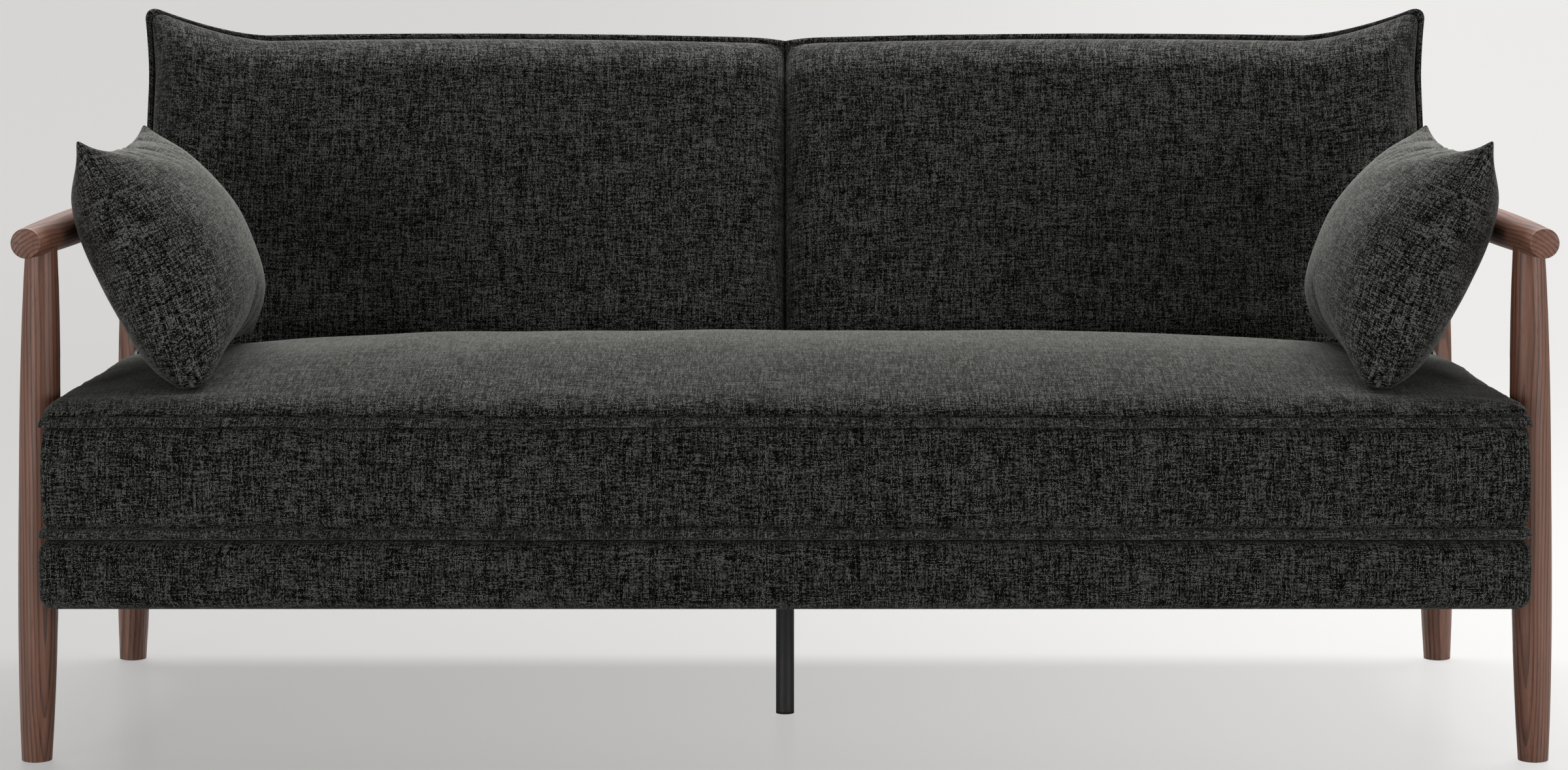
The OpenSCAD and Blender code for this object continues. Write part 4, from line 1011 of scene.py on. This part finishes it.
class SOFA_OT_hinges(bpy.types.Operator):
    """Finish the click hinges in near-black steel, dark as painted shade behind the pillows, with
    their pins and screws
    """
    bl_idname = "sofa.hinges"
    bl_label = "Click hinges"

    def execute(self, context):
        # The brackets and arms are near black: painted shade for the dark gap behind the pillows
        black = metal("painted_shade_steel", linear(50, 50, 53), 0.46, "y", mottle=0.10)
        dark = metal("hardened_steel", linear(84, 85, 88), 0.42, "z", mottle=0.08)
        paint(black, "hinge_bracket_left", "hinge_bracket_right", "hinge_arm_left",
              "hinge_arm_right")
        paint(dark, "ratchet_disc_left", "ratchet_disc_right", "pawl_left", "pawl_right",
              "pawl_springs")
        paint(metal("pin_steel", linear(96, 97, 100), 0.34, mottle=0.05), "hinge_pins",
              "pawl_pins", "stop_pins", "bracket_screws", "arm_bolts")
        return {"FINISHED"}


def seen_by(tree, first, *others):
    """1 for any of these rays and 0 for the rest."""
    path = tree.nodes.new("ShaderNodeLightPath")
    seen = path.outputs[first]
    for name in others:
        either = tree.nodes.new("ShaderNodeMath")
        either.operation = "MAXIMUM"
        tree.links.new(seen, either.inputs[0])
        tree.links.new(path.outputs[name], either.inputs[1])
        seen = either.outputs[0]
    return seen


class SOFA_OT_stage(bpy.types.Operator):
    """Lay the pale floor and backdrop, and hang the soft studio light"""
    bl_idname = "sofa.stage"
    bl_label = "Studio"

    def execute(self, context):
        scene = context.scene
        bpy.ops.object.select_all(action="DESELECT")
        bpy.ops.mesh.primitive_plane_add(size=1, location=(0, 0, 0))
        floor = context.active_object
        floor.name = "floor"
        bpy.ops.object.mode_set(mode="EDIT")
        bpy.ops.mesh.select_all(action="SELECT")
        width, depth, ahead = 34, 21, 6  # wide enough for a view from any side
        bpy.ops.transform.resize(value=(width, depth, 1))
        bpy.ops.transform.translate(value=(0, -ahead, 0))
        bpy.ops.mesh.select_mode(type="EDGE")
        bpy.ops.mesh.select_all(action="DESELECT")
        mesh = bmesh.from_edit_mesh(floor.data)
        for edge in mesh.edges:
            if all(v.co.y > depth / 2 - ahead - 0.001 for v in edge.verts):
                edge.select_set(True)
        bmesh.update_edit_mesh(floor.data)
        steps, pitch = 12, 0.26
        for k in range(steps):
            angle = radians(90) * (k + 0.5) / steps
            bpy.ops.mesh.extrude_region_move(TRANSFORM_OT_translate={
                "value": (0, pitch * cos(angle), pitch * sin(angle))})
        bpy.ops.object.mode_set(mode="OBJECT")
        bpy.ops.object.shade_smooth()
        f = Finish("studio_floor", Specular_IOR_Level=0.35)
        here = f.place()
        # Painted shade: the floor's colour and glow grow darker towards the left, and the glow also
        # towards the front
        drift = f.step(f.part(here, 0), -1.6, 1.6).math("POWER", 1.8)
        tone = f.noise(here, 1.5, 2.0, 0.5)
        colours = scene.sofa_colours
        f.set(Base_Color=f.colour((drift * 0.8 + tone * 0.2).clamp(),
                                  shade(colours.floor, 0.93), colours.floor),
              Roughness=0.20 + tone * 0.05)
        far = f.step(f.part(here, 1), -2.5, 6.0)
        pale = f.colour(drift, colours.backdrop_left, colours.backdrop_right)
        near = f.colour(drift, shade(colours.backdrop_left, 0.55),
                        shade(colours.backdrop_right, 0.95))
        glow = f.node("Emission", {}, {"Color": f.colour(far, near, pale), "Strength": 1.09})
        seen = Link(f, seen_by(f.tree, "Is Camera Ray", "Is Transmission Ray"))
        either = f.node("MixShader", {}, {0: seen * 0.72, 1: Link(f, f.shader.outputs[0]), 2: glow})
        output = f.tree.nodes["Material Output"]
        f.tree.links.new(either.socket, output.inputs["Surface"])
        floor.data.materials.append(f.material)

        def lamp(name, place, aim, size, power):
            data = bpy.data.lights.new(name, "AREA")
            data.shape = "RECTANGLE"
            data.size, data.size_y = size
            data.energy = power
            obj = bpy.data.objects.new(name, data)
            obj.location = place
            obj.rotation_euler = (Vector(aim) - Vector(place)).to_track_quat("-Z", "Y").to_euler()
            scene.collection.objects.link(obj)

        lamp("overhead", (0.15, 1.2, 3.2), (0, -0.1, 0.4), (4.6, 1.3), 205)
        lamp("front_left", (-3.6, -4.2, 1.2), (0, 0, 0.4), (2.4, 1.6), 76)
        lamp("front_right", (4.2, -3.8, 1.2), (0, 0, 0.4), (2.4, 1.6), 76)
        world = bpy.data.worlds.new("studio")
        world.use_nodes = True
        tree = world.node_tree
        tree.nodes.clear()
        out = tree.nodes.new("ShaderNodeOutputWorld")
        mix = tree.nodes.new("ShaderNodeMixShader")
        tree.links.new(seen_by(tree, "Is Camera Ray", "Is Glossy Ray", "Is Transmission Ray"),
                       mix.inputs[0])
        for k, colour, strength in ((1, (0.95, 0.96, 0.97, 1), 0.16),
                                    (2, (0.84, 0.84, 0.83, 1), 1.0)):
            sky = tree.nodes.new("ShaderNodeBackground")
            sky.inputs["Color"].default_value = colour
            sky.inputs["Strength"].default_value = strength
            tree.links.new(sky.outputs[0], mix.inputs[k])
        tree.links.new(mix.outputs[0], out.inputs["Surface"])
        scene.world = world
        scene.view_settings.view_transform = "Standard"
        return {"FINISHED"}


class SOFA_PT_panel(bpy.types.Panel):
    """Sizes, colours and the steps that dress the sofa bed"""
    bl_label = "Sofa bed"
    bl_idname = "SOFA_PT_panel"
    bl_space_type = "VIEW_3D"
    bl_region_type = "UI"
    bl_category = "Sofa bed"

    def draw(self, context):
        for group in (context.scene.sofa_sizes, context.scene.sofa_colours):
            box = self.layout.box()
            for name in group.__annotations__:
                box.prop(group, name)
        for step in STEPS:
            self.layout.operator(step.bl_idname)


STEPS = (SOFA_OT_camera, SOFA_OT_side_frames, SOFA_OT_base, SOFA_OT_centre_leg, SOFA_OT_seat,
         SOFA_OT_back, SOFA_OT_pillows, SOFA_OT_hinges, SOFA_OT_stage)
CLASSES = (SofaSizes, SofaColours) + STEPS + (SOFA_PT_panel,)


def register():
    for cls in CLASSES:
        bpy.utils.register_class(cls)
    bpy.types.Scene.sofa_sizes = bpy.props.PointerProperty(type=SofaSizes)
    bpy.types.Scene.sofa_colours = bpy.props.PointerProperty(type=SofaColours)


def unregister():
    del bpy.types.Scene.sofa_colours
    del bpy.types.Scene.sofa_sizes
    for cls in reversed(CLASSES):
        bpy.utils.unregister_class(cls)


def main():
    register()
    bpy.ops.sofa.camera()
    bpy.ops.sofa.side_frames()
    bpy.ops.sofa.base()
    bpy.ops.sofa.centre_leg()
    bpy.ops.sofa.seat()
    bpy.ops.sofa.back()
    bpy.ops.sofa.pillows()
    bpy.ops.sofa.hinges()
    bpy.ops.sofa.stage()


if __name__ == "__main__":
    main()
